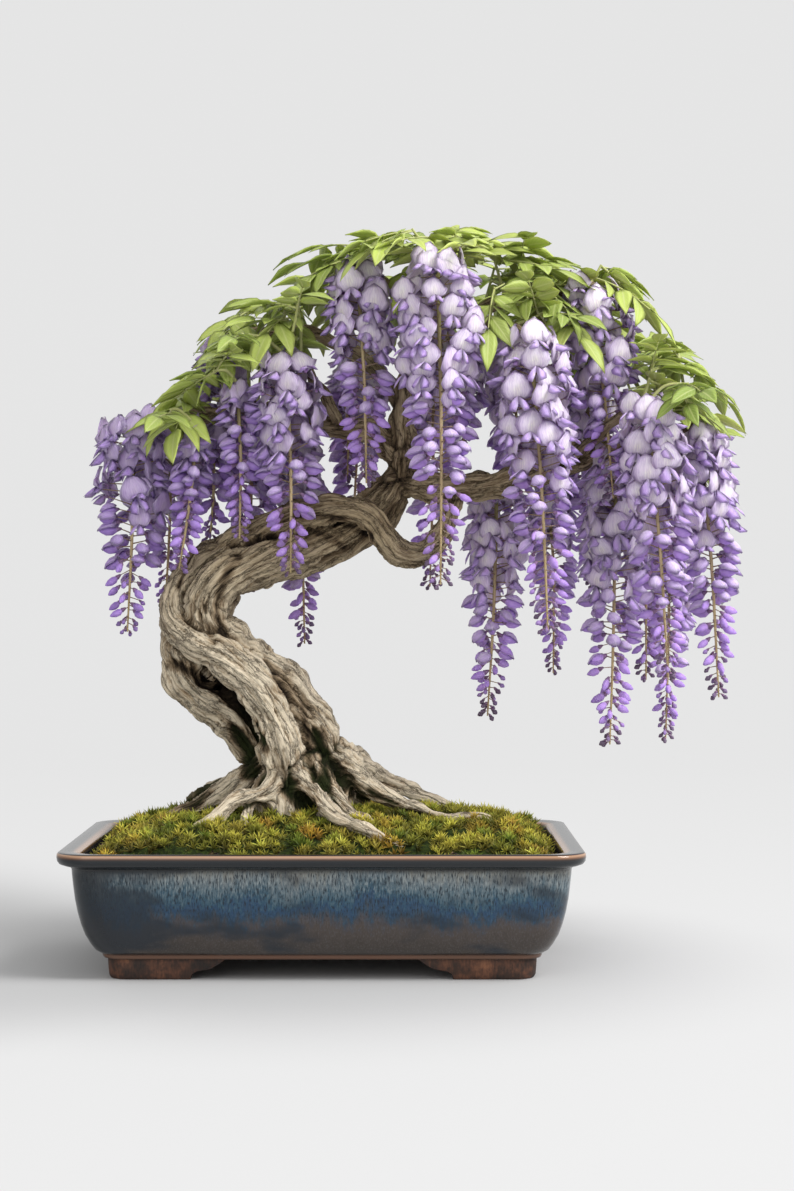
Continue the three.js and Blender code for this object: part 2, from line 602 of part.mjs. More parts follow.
const tree = wood(0);
const treeRoom = wood(CLEARANCE);
const screens = [-1, 1].map(drainScreen);
const soilRoom = screens.map((s, i) => block(
  SCREEN_SIDE + 2 * CLEARANCE,
  SCREEN_SIDE + 2 * CLEARANCE,
  SCREEN_THICKNESS + 3 * CLEARANCE,
  [(i ? 1 : -1) * DRAIN_X, 0, FLOOR_TOP + CLEARANCE + SCREEN_THICKNESS / 2],
));
const soil = largest(heap(mound, 4, 3)
  .intersect(loft(CAVITY_ROWS.map(([height, inset, corner]) => [height + CLEARANCE, inset + CLEARANCE, corner])))
  .subtract(Manifold.union([treeRoom, ...soilRoom])));
const moss = largest(heap(cushion, 8, 5)
  .intersect(loft(CAVITY_ROWS, -2 * CLEARANCE))
  .subtract(heap((x, y) => mound(x, y) + CLEARANCE, 4, 3))
  .subtract(treeRoom));

add('tray', tray(), 'glaze');
screens.forEach((screen, i) => add(`drain_screen_${i + 1}`, screen, 'screen'));
add('soil', soil, 'soil');
add('moss', moss, 'moss');
add('tree', tree, 'bark');
const label = (i) => String(i + 1).padStart(2, '0');
SHOOTS.forEach((growth, i) => {
  const name = `leaf_shoot_${label(i)}`;
  growth.leaves.forEach((_, j) => holdLeaf(growth, j, name));
  add(name, shoot(growth, treeRoom), 'leaf');
});
CLUSTERS.forEach((each, i) => {
  const name = `flower_cluster_${label(i)}`;
  add(name, cluster(each, name, treeRoom), 'petal');
});

// The origin goes under the middle of the whole plant
bonsai.updateMatrixWorld(true);
const bounds = new THREE.Box3().setFromObject(bonsai);
bonsai.position.set(-(bounds.min.x + bounds.max.x) / 2, -(bounds.min.y + bounds.max.y) / 2, -bounds.min.z);

export default bonsai;
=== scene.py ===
import math
import random

import bmesh
import bpy
from mathutils import Matrix, Vector, kdtree, noise


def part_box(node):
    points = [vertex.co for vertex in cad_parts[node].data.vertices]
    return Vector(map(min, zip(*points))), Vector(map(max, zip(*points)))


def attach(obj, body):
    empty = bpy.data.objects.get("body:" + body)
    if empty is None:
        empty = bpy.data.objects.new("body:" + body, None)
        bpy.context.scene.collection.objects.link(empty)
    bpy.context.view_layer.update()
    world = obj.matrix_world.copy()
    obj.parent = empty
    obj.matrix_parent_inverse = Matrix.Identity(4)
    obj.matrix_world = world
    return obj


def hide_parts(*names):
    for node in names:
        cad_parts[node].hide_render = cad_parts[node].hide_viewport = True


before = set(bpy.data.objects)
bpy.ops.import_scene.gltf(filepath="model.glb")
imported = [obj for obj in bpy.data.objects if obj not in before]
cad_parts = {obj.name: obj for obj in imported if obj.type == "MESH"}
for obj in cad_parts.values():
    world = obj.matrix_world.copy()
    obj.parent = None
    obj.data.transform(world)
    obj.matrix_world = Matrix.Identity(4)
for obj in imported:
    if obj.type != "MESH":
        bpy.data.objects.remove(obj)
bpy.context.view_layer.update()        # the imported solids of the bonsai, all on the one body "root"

mm = 0.001
trayLow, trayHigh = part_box("tray")
trayMiddle = (Vector(trayLow) + Vector(trayHigh)) / 2


def put(x, y, z):  # a place in the tray's own frame, in millimetres, with z from the floor
    return Vector((trayMiddle.x + x * mm, trayMiddle.y + y * mm, z * mm))


def clamp(share):
    return min(1.0, max(0.0, share))


def paint(code):  # a screen colour such as "#8090a0", as linear light
    shares = [int(code[i:i + 2], 16) / 255 for i in (1, 3, 5)]
    return [s / 12.92 if s <= 0.04045 else ((s + 0.055) / 1.055) ** 2.4 for s in shares] + [1.0]


def blendPaint(first, second, share):
    share = clamp(share)
    return [a + (b - a) * share for a, b in zip(first, second)]


def litPaint(tone, lightness):
    return [min(1.0, c * lightness) for c in tone[:3]] + [1.0]


def link(material, source, node, socket):
    if isinstance(source, bpy.types.Node):  # a node stands for its first live output
        source = [output for output in source.outputs if output.enabled][0]
    material.node_tree.links.new(source, node.inputs[socket])


def addNode(material, kind, settings=None, values=None, links=None, stops=None):
    node = material.node_tree.nodes.new("ShaderNode" + kind)
    for name, value in (settings or {}).items():
        setattr(node, name, value)
    for socket, value in (values or {}).items():
        node.inputs[socket].default_value = value
    for socket, source in (links or {}).items():
        link(material, source, node, socket)
    if stops:
        elements = node.color_ramp.elements
        elements.remove(elements[1])
        for i, (place, shade) in enumerate(stops):
            stop = elements[0] if i == 0 else elements.new(place)
            stop.position = place
            stop.color = paint(shade) if isinstance(shade, str) else (shade, shade, shade, 1)
    return node


rgba = {"data_type": "RGBA"}  # a Mix node for colours
eased = {"interpolation_type": "SMOOTHSTEP"}  # a Map Range node with soft ends


def newMaterial(name, roughness, sockets=None):  # sockets: more of the shader's own constants
    material = bpy.data.materials.new(name)
    material.use_nodes = True
    shader = material.node_tree.nodes["Principled BSDF"]
    for socket, value in {"Roughness": roughness, **(sockets or {})}.items():
        shader.inputs[socket].default_value = value
    return material, shader


def addObject(name, data):
    thing = bpy.data.objects.new(name, data)
    bpy.context.collection.objects.link(thing)
    return thing


def newPiece(name, mesh, material, slot, *nodes, smooth=True):
    piece = addObject(name, mesh)
    mesh.materials.clear()
    mesh.materials.append(material)
    if smooth:
        mesh.shade_smooth()
    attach(piece, "root")
    if nodes:
        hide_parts(*nodes)
    return piece


def addAttribute(mesh, name, kind, field, values):  # one value for each point of the mesh
    mesh.attributes.new(name, kind, "POINT").data.foreach_set(field, values)


def closedMesh(bm, name):
    bmesh.ops.recalc_face_normals(bm, faces=bm.faces)
    mesh = bpy.data.meshes.new(name)
    bm.to_mesh(mesh)
    bm.free()
    return mesh


def applied(mesh, kind, **settings):  # the mesh with one modifier applied, and nothing left behind
    holder = addObject("holder", mesh)
    modifier = holder.modifiers.new(kind, kind)
    for name, value in settings.items():
        setattr(modifier, name, value)
    graph = bpy.context.evaluated_depsgraph_get()
    done = bpy.data.meshes.new_from_object(holder.evaluated_get(graph))
    bpy.data.objects.remove(holder)
    return done


# Routes: smooth lines through a few stops, the same as the solids' own
def routeThrough(stops, spacing):
    ends = [Vector(p) for p in stops]
    ends = [ends[0] * 2 - ends[1]] + ends + [ends[-1] * 2 - ends[-2]]
    fine = []
    for i in range(1, len(ends) - 2):
        p0, p1, p2, p3 = ends[i - 1:i + 3]
        d0, d1, d2 = [max(1e-6, (b - a).length ** 0.5) for a, b in ((p0, p1), (p1, p2), (p2, p3))]
        m1 = (p1 - p0) / d0 - (p2 - p0) / (d0 + d1) + (p2 - p1) / d1
        m2 = (p2 - p1) / d1 - (p3 - p1) / (d1 + d2) + (p3 - p2) / d2
        m1, m2 = m1 * d1, m2 * d1
        for k in range(16):
            t = k / 16
            fine.append(
                p1 * (2 * t ** 3 - 3 * t ** 2 + 1) + m1 * (t ** 3 - 2 * t ** 2 + t)
                + p2 * (3 * t ** 2 - 2 * t ** 3) + m2 * (t ** 3 - t ** 2)
            )
    fine.append(ends[-2])
    lengths = [0.0]
    for a, b in zip(fine, fine[1:]):
        lengths.append(lengths[-1] + (b - a).length)
    count = max(2, math.ceil(lengths[-1] / spacing))
    even = []
    k = 0
    for i in range(count + 1):
        goal = lengths[-1] * i / count
        while k < len(fine) - 2 and lengths[k + 1] < goal:
            k += 1
        share = (goal - lengths[k]) / max(1e-9, lengths[k + 1] - lengths[k])
        even.append(fine[k].lerp(fine[k + 1], min(1.0, share)))
    return even, lengths[-1]


def alongList(values, share):
    place = clamp(share) * (len(values) - 1)
    low = min(int(place), len(values) - 2)
    return values[low] + (values[low + 1] - values[low]) * (place - low)


growth = {  # how grown wood strays: millimetres between two turns, and how much it swells
    "strayEvery": 16,
    "swellEvery": 9,
    "swell": 0.14,
    "swellSeed": Vector((4, 2, 7)),
    "straySeed": 11,
}
noise.seed_set(growth["straySeed"])  # without it, noise_vector gives another result in every run


def wandered(line, radii, amount):  # a route that strays and swells a little, as grown wood does
    moved = []
    swollen = []
    for i, at in enumerate(line):
        share = i / (len(line) - 1)
        stray = noise.noise_vector(at / growth["strayEvery"]) * amount
        moved.append(at + stray * math.sin(math.pi * share) ** 0.5)
        swell = noise.noise(at / growth["swellEvery"] + growth["swellSeed"])
        swollen.append(alongList(radii, share) * (1 + growth["swell"] * swell))
    return moved, swollen


def tubes(name, stems, spacing, roundness, wander=0.0):  # closed tubes along routes, in metres
    curve = bpy.data.curves.new(name, "CURVE")
    curve.dimensions = "3D"
    curve.bevel_depth = mm
    curve.bevel_resolution = roundness
    curve.use_fill_caps = True
    for stops, radii in stems:
        line, _ = routeThrough(stops, spacing)
        widths = [alongList(radii, i / (len(line) - 1)) for i in range(len(line))]
        if wander:
            line, widths = wandered(line, radii, wander)
        spline = curve.splines.new("POLY")
        spline.points.add(len(line) - 1)
        for point, at, width in zip(spline.points, line, widths):
            point.co = (*put(*at), 1)
            point.radius = width
    holder = bpy.data.objects.new(name, curve)
    mesh = bpy.data.meshes.new_from_object(holder)
    bpy.data.objects.remove(holder)
    return mesh


# Camera and studio
studio = {
    "cameraPlace": (55, -1856, 285),
    "lensMm": 72.6,
    "sensorMm": 36,
    "tiltDegrees": 0.13,
    "paperPaint": "#c1c1c1",
    "wallPaint": "#666666",
    "wallGlow": 0.655,  # painted light: the glow that the paper gives off away from the plant
    "glowShape": (0.66, 0.6, 0),  # the glow keeps clear of an oval around the tray
    "glowFrom": (0.115, 0.27),  # metres in that oval at which the paper starts to glow, and is full
    "leftShadePaint": "#6f6f6f",  # the paper on the left, painted darker: painted shade
    "leftShadeGlow": 0.38,
    "leftShadeFrom": (-0.5, -0.9),  # how far round to the left it starts, and is full
    "paperReach": 2.7,  # metres from the plant to the backdrop, the same on every side
    "paperCurve": 0.9,
    "paperHigh": 3.2,
    "paperSteps": (12, 96),  # up the curve, and all round
    "skyStrength": 0.56,
    "lamps": {  # place in millimetres, width and height in metres, watts
        "key": ((1500, -1000, 1900), 1.0, 1.4, 60),
        "fill": ((-500, -1900, 900), 1.4, 1.2, 8),
    },
    "lampAim": (60, 0, 240),
}


def buildCamera():
    camera = addObject("camera", bpy.data.cameras.new("camera"))
    camera.data.lens = studio["lensMm"]
    camera.data.sensor_width = studio["sensorMm"]
    camera.location = put(*studio["cameraPlace"])
    camera.rotation_euler = (math.radians(90 - studio["tiltDegrees"]), 0, 0)
    bpy.context.scene.camera = camera


def paperMaterial():
    # Matt background paper. Away from the tray it glows with its own light, painted light that
    # keeps the backdrop evenly bright, and on the left it is painted darker and glows less, painted shade.
    paper, shader = newMaterial("sweepPaper", 0.9, {
        "Specular IOR Level": 0.1, "Emission Color": (1, 1, 1, 1),
    })
    where = addNode(paper, "TexCoord").outputs["Object"]
    flat = addNode(paper, "VectorMath", {"operation": "MULTIPLY"}, {1: (1, 1, 0)}, {0: where})
    far = addNode(paper, "VectorMath", {"operation": "LENGTH"}, None, {0: flat}).outputs["Value"]
    fromTray = addNode(paper, "VectorMath", {"operation": "SUBTRACT"}, {1: (trayMiddle.x, trayMiddle.y, 0)},
                       {0: flat})
    oval = addNode(paper, "VectorMath", {"operation": "MULTIPLY"}, {1: studio["glowShape"]}, {0: fromTray})
    beyond = addNode(paper, "VectorMath", {"operation": "LENGTH"}, None, {0: oval}).outputs["Value"]
    split = addNode(paper, "SeparateXYZ", links={"Vector": flat})
    leftward = addNode(paper, "Math", {"operation": "DIVIDE"}, None, {0: split.outputs["X"], 1: far})
    away, leftShade = [
        addNode(paper, "MapRange", eased, {"From Min": studio[name][0], "From Max": studio[name][1]},
                {"Value": source})
        for name, source in (("glowFrom", beyond), ("leftShadeFrom", leftward))
    ]
    # The glow is painted light; the left gets less of it and a darker paint, painted shade
    most = addNode(paper, "MapRange", values={"To Min": studio["wallGlow"], "To Max": studio["leftShadeGlow"]},
                   links={"Value": leftShade})
    glow = addNode(paper, "Math", {"operation": "MULTIPLY"}, None, {0: away, 1: most})
    link(paper, glow, shader, "Emission Strength")
    wall = addNode(paper, "Mix", rgba, {6: paint(studio["wallPaint"]), 7: paint(studio["leftShadePaint"])},
                   {0: leftShade})
    colour = addNode(paper, "Mix", rgba, {6: paint(studio["paperPaint"])}, {0: away, 7: wall})
    link(paper, colour, shader, "Base Color")
    return paper


def buildPaper():  # a paper sweep on every side: floor, a long curve, wall
    reach, curve = studio["paperReach"], studio["paperCurve"]
    rises, rounds = studio["paperSteps"]
    profile = [(0, 0), (reach - curve, 0)]
    for i in range(1, rises + 1):
        angle = math.radians(90 * i / rises)
        profile.append((reach - curve + curve * math.sin(angle), curve - curve * math.cos(angle)))
    profile.append((reach, studio["paperHigh"]))
    bm = bmesh.new()
    line = [bm.verts.new((x, 0, z)) for x, z in profile]
    edges = [bm.edges.new(pair) for pair in zip(line, line[1:])]
    bmesh.ops.spin(bm, geom=line + edges, cent=(0, 0, 0), axis=(0, 0, 1), angle=math.tau, steps=rounds,
                   use_merge=True)
    bmesh.ops.remove_doubles(bm, verts=bm.verts, dist=mm)
    mesh = closedMesh(bm, "sweep")
    mesh.shade_smooth()
    mesh.materials.append(paperMaterial())
    addObject("sweep", mesh)


def buildStudio():
    buildCamera()
    buildPaper()
    world = bpy.data.worlds.new("world")
    world.use_nodes = True
    background = world.node_tree.nodes["Background"]
    background.inputs["Color"].default_value = (1, 1, 1, 1)
    background.inputs["Strength"].default_value = studio["skyStrength"]
    bpy.context.scene.world = world
    for name, (place, wide, high, watts) in studio["lamps"].items():
        lamp = addObject(name, bpy.data.lights.new(name, "AREA"))
        lamp.data.shape = "RECTANGLE"
        lamp.data.size = wide
        lamp.data.size_y = high
        lamp.data.energy = watts
        lamp.location = put(*place)
        way = put(*studio["lampAim"]) - lamp.location
        lamp.rotation_euler = way.to_track_quat("-Z", "Y").to_euler()
    bpy.context.scene.view_settings.view_transform = "Standard"
    print("studio set")


# The tray: high-fired stoneware with a running blue glaze over an iron glaze
tray = {
    "length": 385,
    "depth": 272,
    "cornerSteps": 12,
    "outer": [  # height, inset from the rim, corner radius
        (15.0, 33.4, 16), (15.6, 31.6, 16.5), (17.0, 30.8, 17), (18.6, 30.6, 17), (19.4, 29.0, 17.5),
        (21.5, 26.0, 18.5), (26, 22.8, 20), (33, 19.0, 21.5), (41, 16.2, 22.5), (50, 13.9, 23.2),
        (60, 12.1, 23.8), (70, 10.9, 24.3), (78, 10.1, 24.7), (82, 9.8, 25), (83.6, 8.8, 25.2),
        (84.8, 5.2, 25.5), (86.4, 1.8, 25.8), (88.6, 0.4, 26), (91.5, 0.0, 26), (93.6, 0.2, 26),
        (94.7, 1.1, 26), (95.0, 2.6, 25.5), (94.9, 6, 24.5), (94.4, 11, 23), (93.9, 14.6, 21),
        (93.0, 15.8, 20),
    ],
    "inner": [(90, 16.6, 19.5), (80, 18.6, 19), (62, 22, 18), (40, 27, 16), (26.5, 34, 14), (24, 38, 12)],
    "drainPlaces": (-80, 80),
    "drainRadius": 9,
    "drainCut": 40,
    "feet": [(0.0, 37.0, 14), (0.8, 36.2, 14.4), (2.5, 35.4, 15), (8, 34.8, 15.4), (15.2, 34.4, 16)],
    "footWall": 14,
    "footHollow": (-5, 25, 5),  # from, up to, corner radius
    "footEdge": 0.7,
    "gapFront": [(96, -2), (96, 1.5), (95, 4.2), (91, 6.4), (85, 7.2), (81, 8.2), (76, 11), (70, 15.4)],
    "gapSide": [(50, -2), (50, 1.5), (49, 4.2), (45, 6.4), (39, 7.2), (35, 8.2), (31, 11), (27, 15.4)],
}


def roundedLoop(bm, height, inset, corner):
    steps = tray["cornerSteps"]
    turn = Matrix.Rotation(math.pi / (4 * steps), 4, "Z")
    ring = bmesh.ops.create_circle(bm, segments=4 * steps, radius=corner, matrix=turn)["verts"]
    halfX = tray["length"] / 2 - inset - corner
    halfY = tray["depth"] / 2 - inset - corner
    for v in ring:
        v.co = put(v.co.x + math.copysign(halfX, v.co.x), v.co.y + math.copysign(halfY, v.co.y), height)
    return list({e for v in ring for e in v.link_edges})


def cappedLoft(rows, name):
    bm = bmesh.new()
    loops = [roundedLoop(bm, *row) for row in rows]
    for lower, upper in zip(loops, loops[1:]):
        bmesh.ops.bridge_loops(bm, edges=lower + upper)
    for loop in (loops[0], loops[-1]):
        bmesh.ops.contextual_create(bm, geom=loop)
    return closedMesh(bm, name)


def drainCutter(x):
    bm = bmesh.new()
    radius, depth = tray["drainRadius"] * mm, tray["drainCut"] * mm
    bmesh.ops.create_cone(bm, cap_ends=True, segments=32, radius1=radius, radius2=radius, depth=depth,
                          matrix=Matrix.Translation(put(x, 0, tray["drainCut"] / 2)))
    return closedMesh(bm, "drain")


def gapCutter(outline, sideways):  # a bar with this outline, through the whole tray
    reach = tray["length"]
    corners = outline + [(-x, z) for x, z in reversed(outline)]
    bm = bmesh.new()
    face = bm.faces.new([
        bm.verts.new(put(-reach, x, z) if sideways else put(x, -reach, z)) for x, z in corners
    ])
    grown = bmesh.ops.extrude_face_region(bm, geom=[face])["geom"]
    away = Vector((2, 0, 0) if sideways else (0, 2, 0)) * reach * mm
    bmesh.ops.translate(bm, verts=[g for g in grown if isinstance(g, bmesh.types.BMVert)], vec=away)
    bmesh.ops.holes_fill(bm, edges=bm.edges)
    return closedMesh(bm, "gap")


def cutWith(mesh, cutters):
    for cutter in cutters:
        tool = addObject("cutter", cutter)
        mesh = applied(mesh, "BOOLEAN", object=tool, operation="DIFFERENCE", solver="EXACT")
        bpy.data.objects.remove(tool)
    return mesh


def buildTray():
    body = cappedLoft(tray["outer"] + tray["inner"], "tray")
    body = cutWith(body, [drainCutter(x) for x in tray["drainPlaces"]])

    low, high, corner = tray["footHollow"]
    inset = tray["feet"][0][1] + tray["footWall"]
    feet = cutWith(cappedLoft(tray["feet"], "feet"), [
        cappedLoft([(low, inset, corner), (high, inset, corner)], "hollowShade"),
        gapCutter(tray["gapFront"], False),
        gapCutter(tray["gapSide"], True),
    ])
    feet = applied(feet, "BEVEL", width=tray["footEdge"] * mm, segments=2, limit_method="ANGLE",
                   angle_limit=0.7)

    newPiece("glazedTray", body, glazeMaterial(), "glaze", "tray")
    newPiece("clayFeet", feet, clayMaterial(), "glaze", "tray")
    for mesh in (body, feet):
        mesh.set_sharp_from_angle(angle=math.radians(40))
    print("tray built")


glaze = {
    "clouds": {  # cells in a metre across and up, and their detail
        "streaks": ((1100, 1100, 210), 2.0),  # fine runs, drawn 0.9 mm wide and 5 mm long
        "runs": ((260, 260, 40), 2.0),  # 4 mm wide and 25 mm long
        "drips": ((40, 40, 26), 4.0),  # 25 mm swings of the colours' edges
        "pools": ((15, 15, 36), 3.0),  # 60 mm pools of darker glaze
    },
    "sway": {"drips": 0.24, "runs": 0.24, "streaks": 0.16, "pools": 0.24},  # of the bands' edges
    "swayMiddle": 0.44,
    "bands": [  # heights are shares of 100 mm above the floor
        (0.0, "#342f2a"), (0.22, "#3b342f"), (0.38, "#443c38"), (0.45, "#3d3c41"), (0.5, "#263a4a"),
        (0.55, "#1a3b58"), (0.61, "#284859"), (0.68, "#495d67"), (0.76, "#677175"), (0.84, "#777770"),
        (1.0, "#6a6a6b"),
    ],
    "flecks": [  # above which height, the streaks they take, how strong, and their colour
        (0.6, (0.54, 0.66), 0.5, "#969fa1"),  # pale crystals where the glaze is thick
        (0.4, (0.47, 0.36), 0.85, "#0d1822"),  # dark flecks between the runs
    ],
    "flecksFade": 0.15,
    "leftShadePools": ((-0.06, -0.19), 0.34),  # metres from the middle to the left, and how much painted shade is added to the pools
    "pooledAndLeftShade": ((0.52, 0.7), 0.82, "#111f2b"),
    # the left end painted near black: a painted reflection of the darker left side
    "leftEndShade": ((-0.13, -0.18), 0.6, "#0e0f10"),
    "edges": [(0.188, 1.0), (0.205, 0.0), (0.8, 0.0), (0.83, 0.85), (0.85, 1.0)],
    # copper brown at the lip's edge and the foot band, lightest near the lip's top, partly a painted
    # highlight; the groove and the band under the lip painted near black, painted shade
    "edgeToneAndShades": [
        (0.15, "#3c2a21"), (0.172, "#6a4b39"), (0.188, "#51382c"), (0.2, "#241e1a"), (0.81, "#13181c"),
        (0.84, "#090b0d"), (0.865, "#1a1e22"), (0.9, "#1b2024"), (0.912, "#2c2421"), (0.922, "#6c4d3b"),
        (0.936, "#b08b6f"), (0.943, "#96755d"), (0.9452, "#1b1e21"), (1.0, "#15181b"),
    ],
}


def glazeMaterial():
    # Stoneware glaze: a glassy coat over iron clay. Rutile has run down it in fine streaks, from
    # grey cream through deep blue to a bare tea-brown band. Where it thins on edges it breaks to
    # copper brown. Glass of IOR 1.5 gives it window-like highlights.
    material, shader = newMaterial("stonewareGlaze", 0.17, {"IOR": 1.5})
    where = addNode(material, "TexCoord").outputs["Object"]
    split = addNode(material, "SeparateXYZ", links={"Vector": where})
    height = addNode(material, "Math", {"operation": "MULTIPLY"}, {1: 10.0}, {0: split.outputs["Z"]})
    clouds = {}
    for name, (scale, detail) in glaze["clouds"].items():
        spread = addNode(material, "Mapping", values={"Scale": scale}, links={"Vector": where})
        clouds[name] = addNode(material, "TexNoise", None, {
            "Scale": 1.0, "Detail": detail, "Roughness": 0.55,
        }, {"Vector": spread})
    level = height
    for name, weight in glaze["sway"].items():
        level = addNode(material, "Math", {"operation": "MULTIPLY_ADD"}, {1: weight},
                        {0: clouds[name], 2: level})
    level = addNode(material, "Math", {"operation": "SUBTRACT"}, {1: glaze["swayMiddle"]}, {0: level})
    colour = addNode(material, "ValToRGB", links={"Fac": level}, stops=glaze["bands"])
    for start, (low, high), most, fleck in glaze["flecks"]:
        glazed = addNode(material, "MapRange", eased, {
            "From Min": start, "From Max": start + glaze["flecksFade"], "To Min": 0.1, "To Max": 1.0,
        }, {"Value": height})
        flecks = addNode(material, "MapRange", eased, {"From Min": low, "From Max": high, "To Max": most},
                         {"Value": clouds["streaks"]})
        share = addNode(material, "Math", {"operation": "MULTIPLY"}, None, {0: flecks, 1: glazed})
        colour = addNode(material, "Mix", rgba, {7: paint(fleck)}, {0: share, 6: colour})
    # The left end is painted darker: a painted reflection of the darker left side
    (near, far), most = glaze["leftShadePools"]
    leftward = addNode(material, "MapRange", eased, {
        "From Min": trayMiddle.x + near, "From Max": trayMiddle.x + far, "To Max": most,
    }, {"Value": split.outputs["X"]})
    pooledAndLeftShade = addNode(material, "Math", {"operation": "ADD"}, None, {0: clouds["pools"], 1: leftward})
    for name, source, zero in (("pooledAndLeftShade", pooledAndLeftShade, 0), ("leftEndShade", split.outputs["X"], trayMiddle.x)):
        (low, high), most, tone = glaze[name]
        share = addNode(material, "MapRange", eased, {
            "From Min": zero + low, "From Max": zero + high, "To Max": most,
        }, {"Value": source})
        colour = addNode(material, "Mix", rgba, {7: paint(tone)}, {0: share, 6: colour})
    # The lip's upper edge and the foot band show copper brown, lightest near the lip's top, partly a
    # painted highlight, and the groove and the band under the lip are painted nearly black, painted shade
    edgeToneAndShade = addNode(material, "ValToRGB", links={"Fac": height}, stops=glaze["edgeToneAndShades"])
    edge = addNode(material, "ValToRGB", links={"Fac": height}, stops=glaze["edges"])
    finish = addNode(material, "Mix", rgba, None, {0: edge, 6: colour, 7: edgeToneAndShade})
    link(material, finish, shader, "Base Color")
    bump = addNode(material, "Bump", None, {"Strength": 0.12, "Distance": 0.5 * mm},
                   {"Height": clouds["drips"]})
    link(material, bump, shader, "Normal")
    return material


def clayMaterial():
    # Bare iron-rich stoneware: dry, rusty brown, smoked darker in 22 mm clouds, with the fine
    # upright strokes of a trimming rib about 1.5 mm apart
    material, shader = newMaterial("bareClay", 0.7)
    where = addNode(material, "TexCoord").outputs["Object"]
    cloud = addNode(material, "TexNoise", None, {"Scale": 45.0, "Detail": 6.0, "Roughness": 0.65},
                    {"Vector": where})
    upright = addNode(material, "Mapping", None, {"Scale": (650, 650, 200)}, {"Vector": where})
    strokes = addNode(material, "TexNoise", None, {"Scale": 1.0, "Detail": 2.0}, {"Vector": upright})
    both = addNode(material, "Math", {"operation": "MULTIPLY_ADD"}, {1: 0.3}, {0: strokes, 2: cloud})
    colour = addNode(material, "ValToRGB", links={"Fac": both}, stops=[
        (0.5, "#1a120e"), (0.64, "#382318"), (0.76, "#593725"), (0.9, "#7a4f35"),
    ])
    link(material, colour, shader, "Base Color")
    bump = addNode(material, "Bump", None, {"Strength": 0.4, "Distance": 0.4 * mm}, {"Height": strokes})
    link(material, bump, shader, "Normal")
    return material


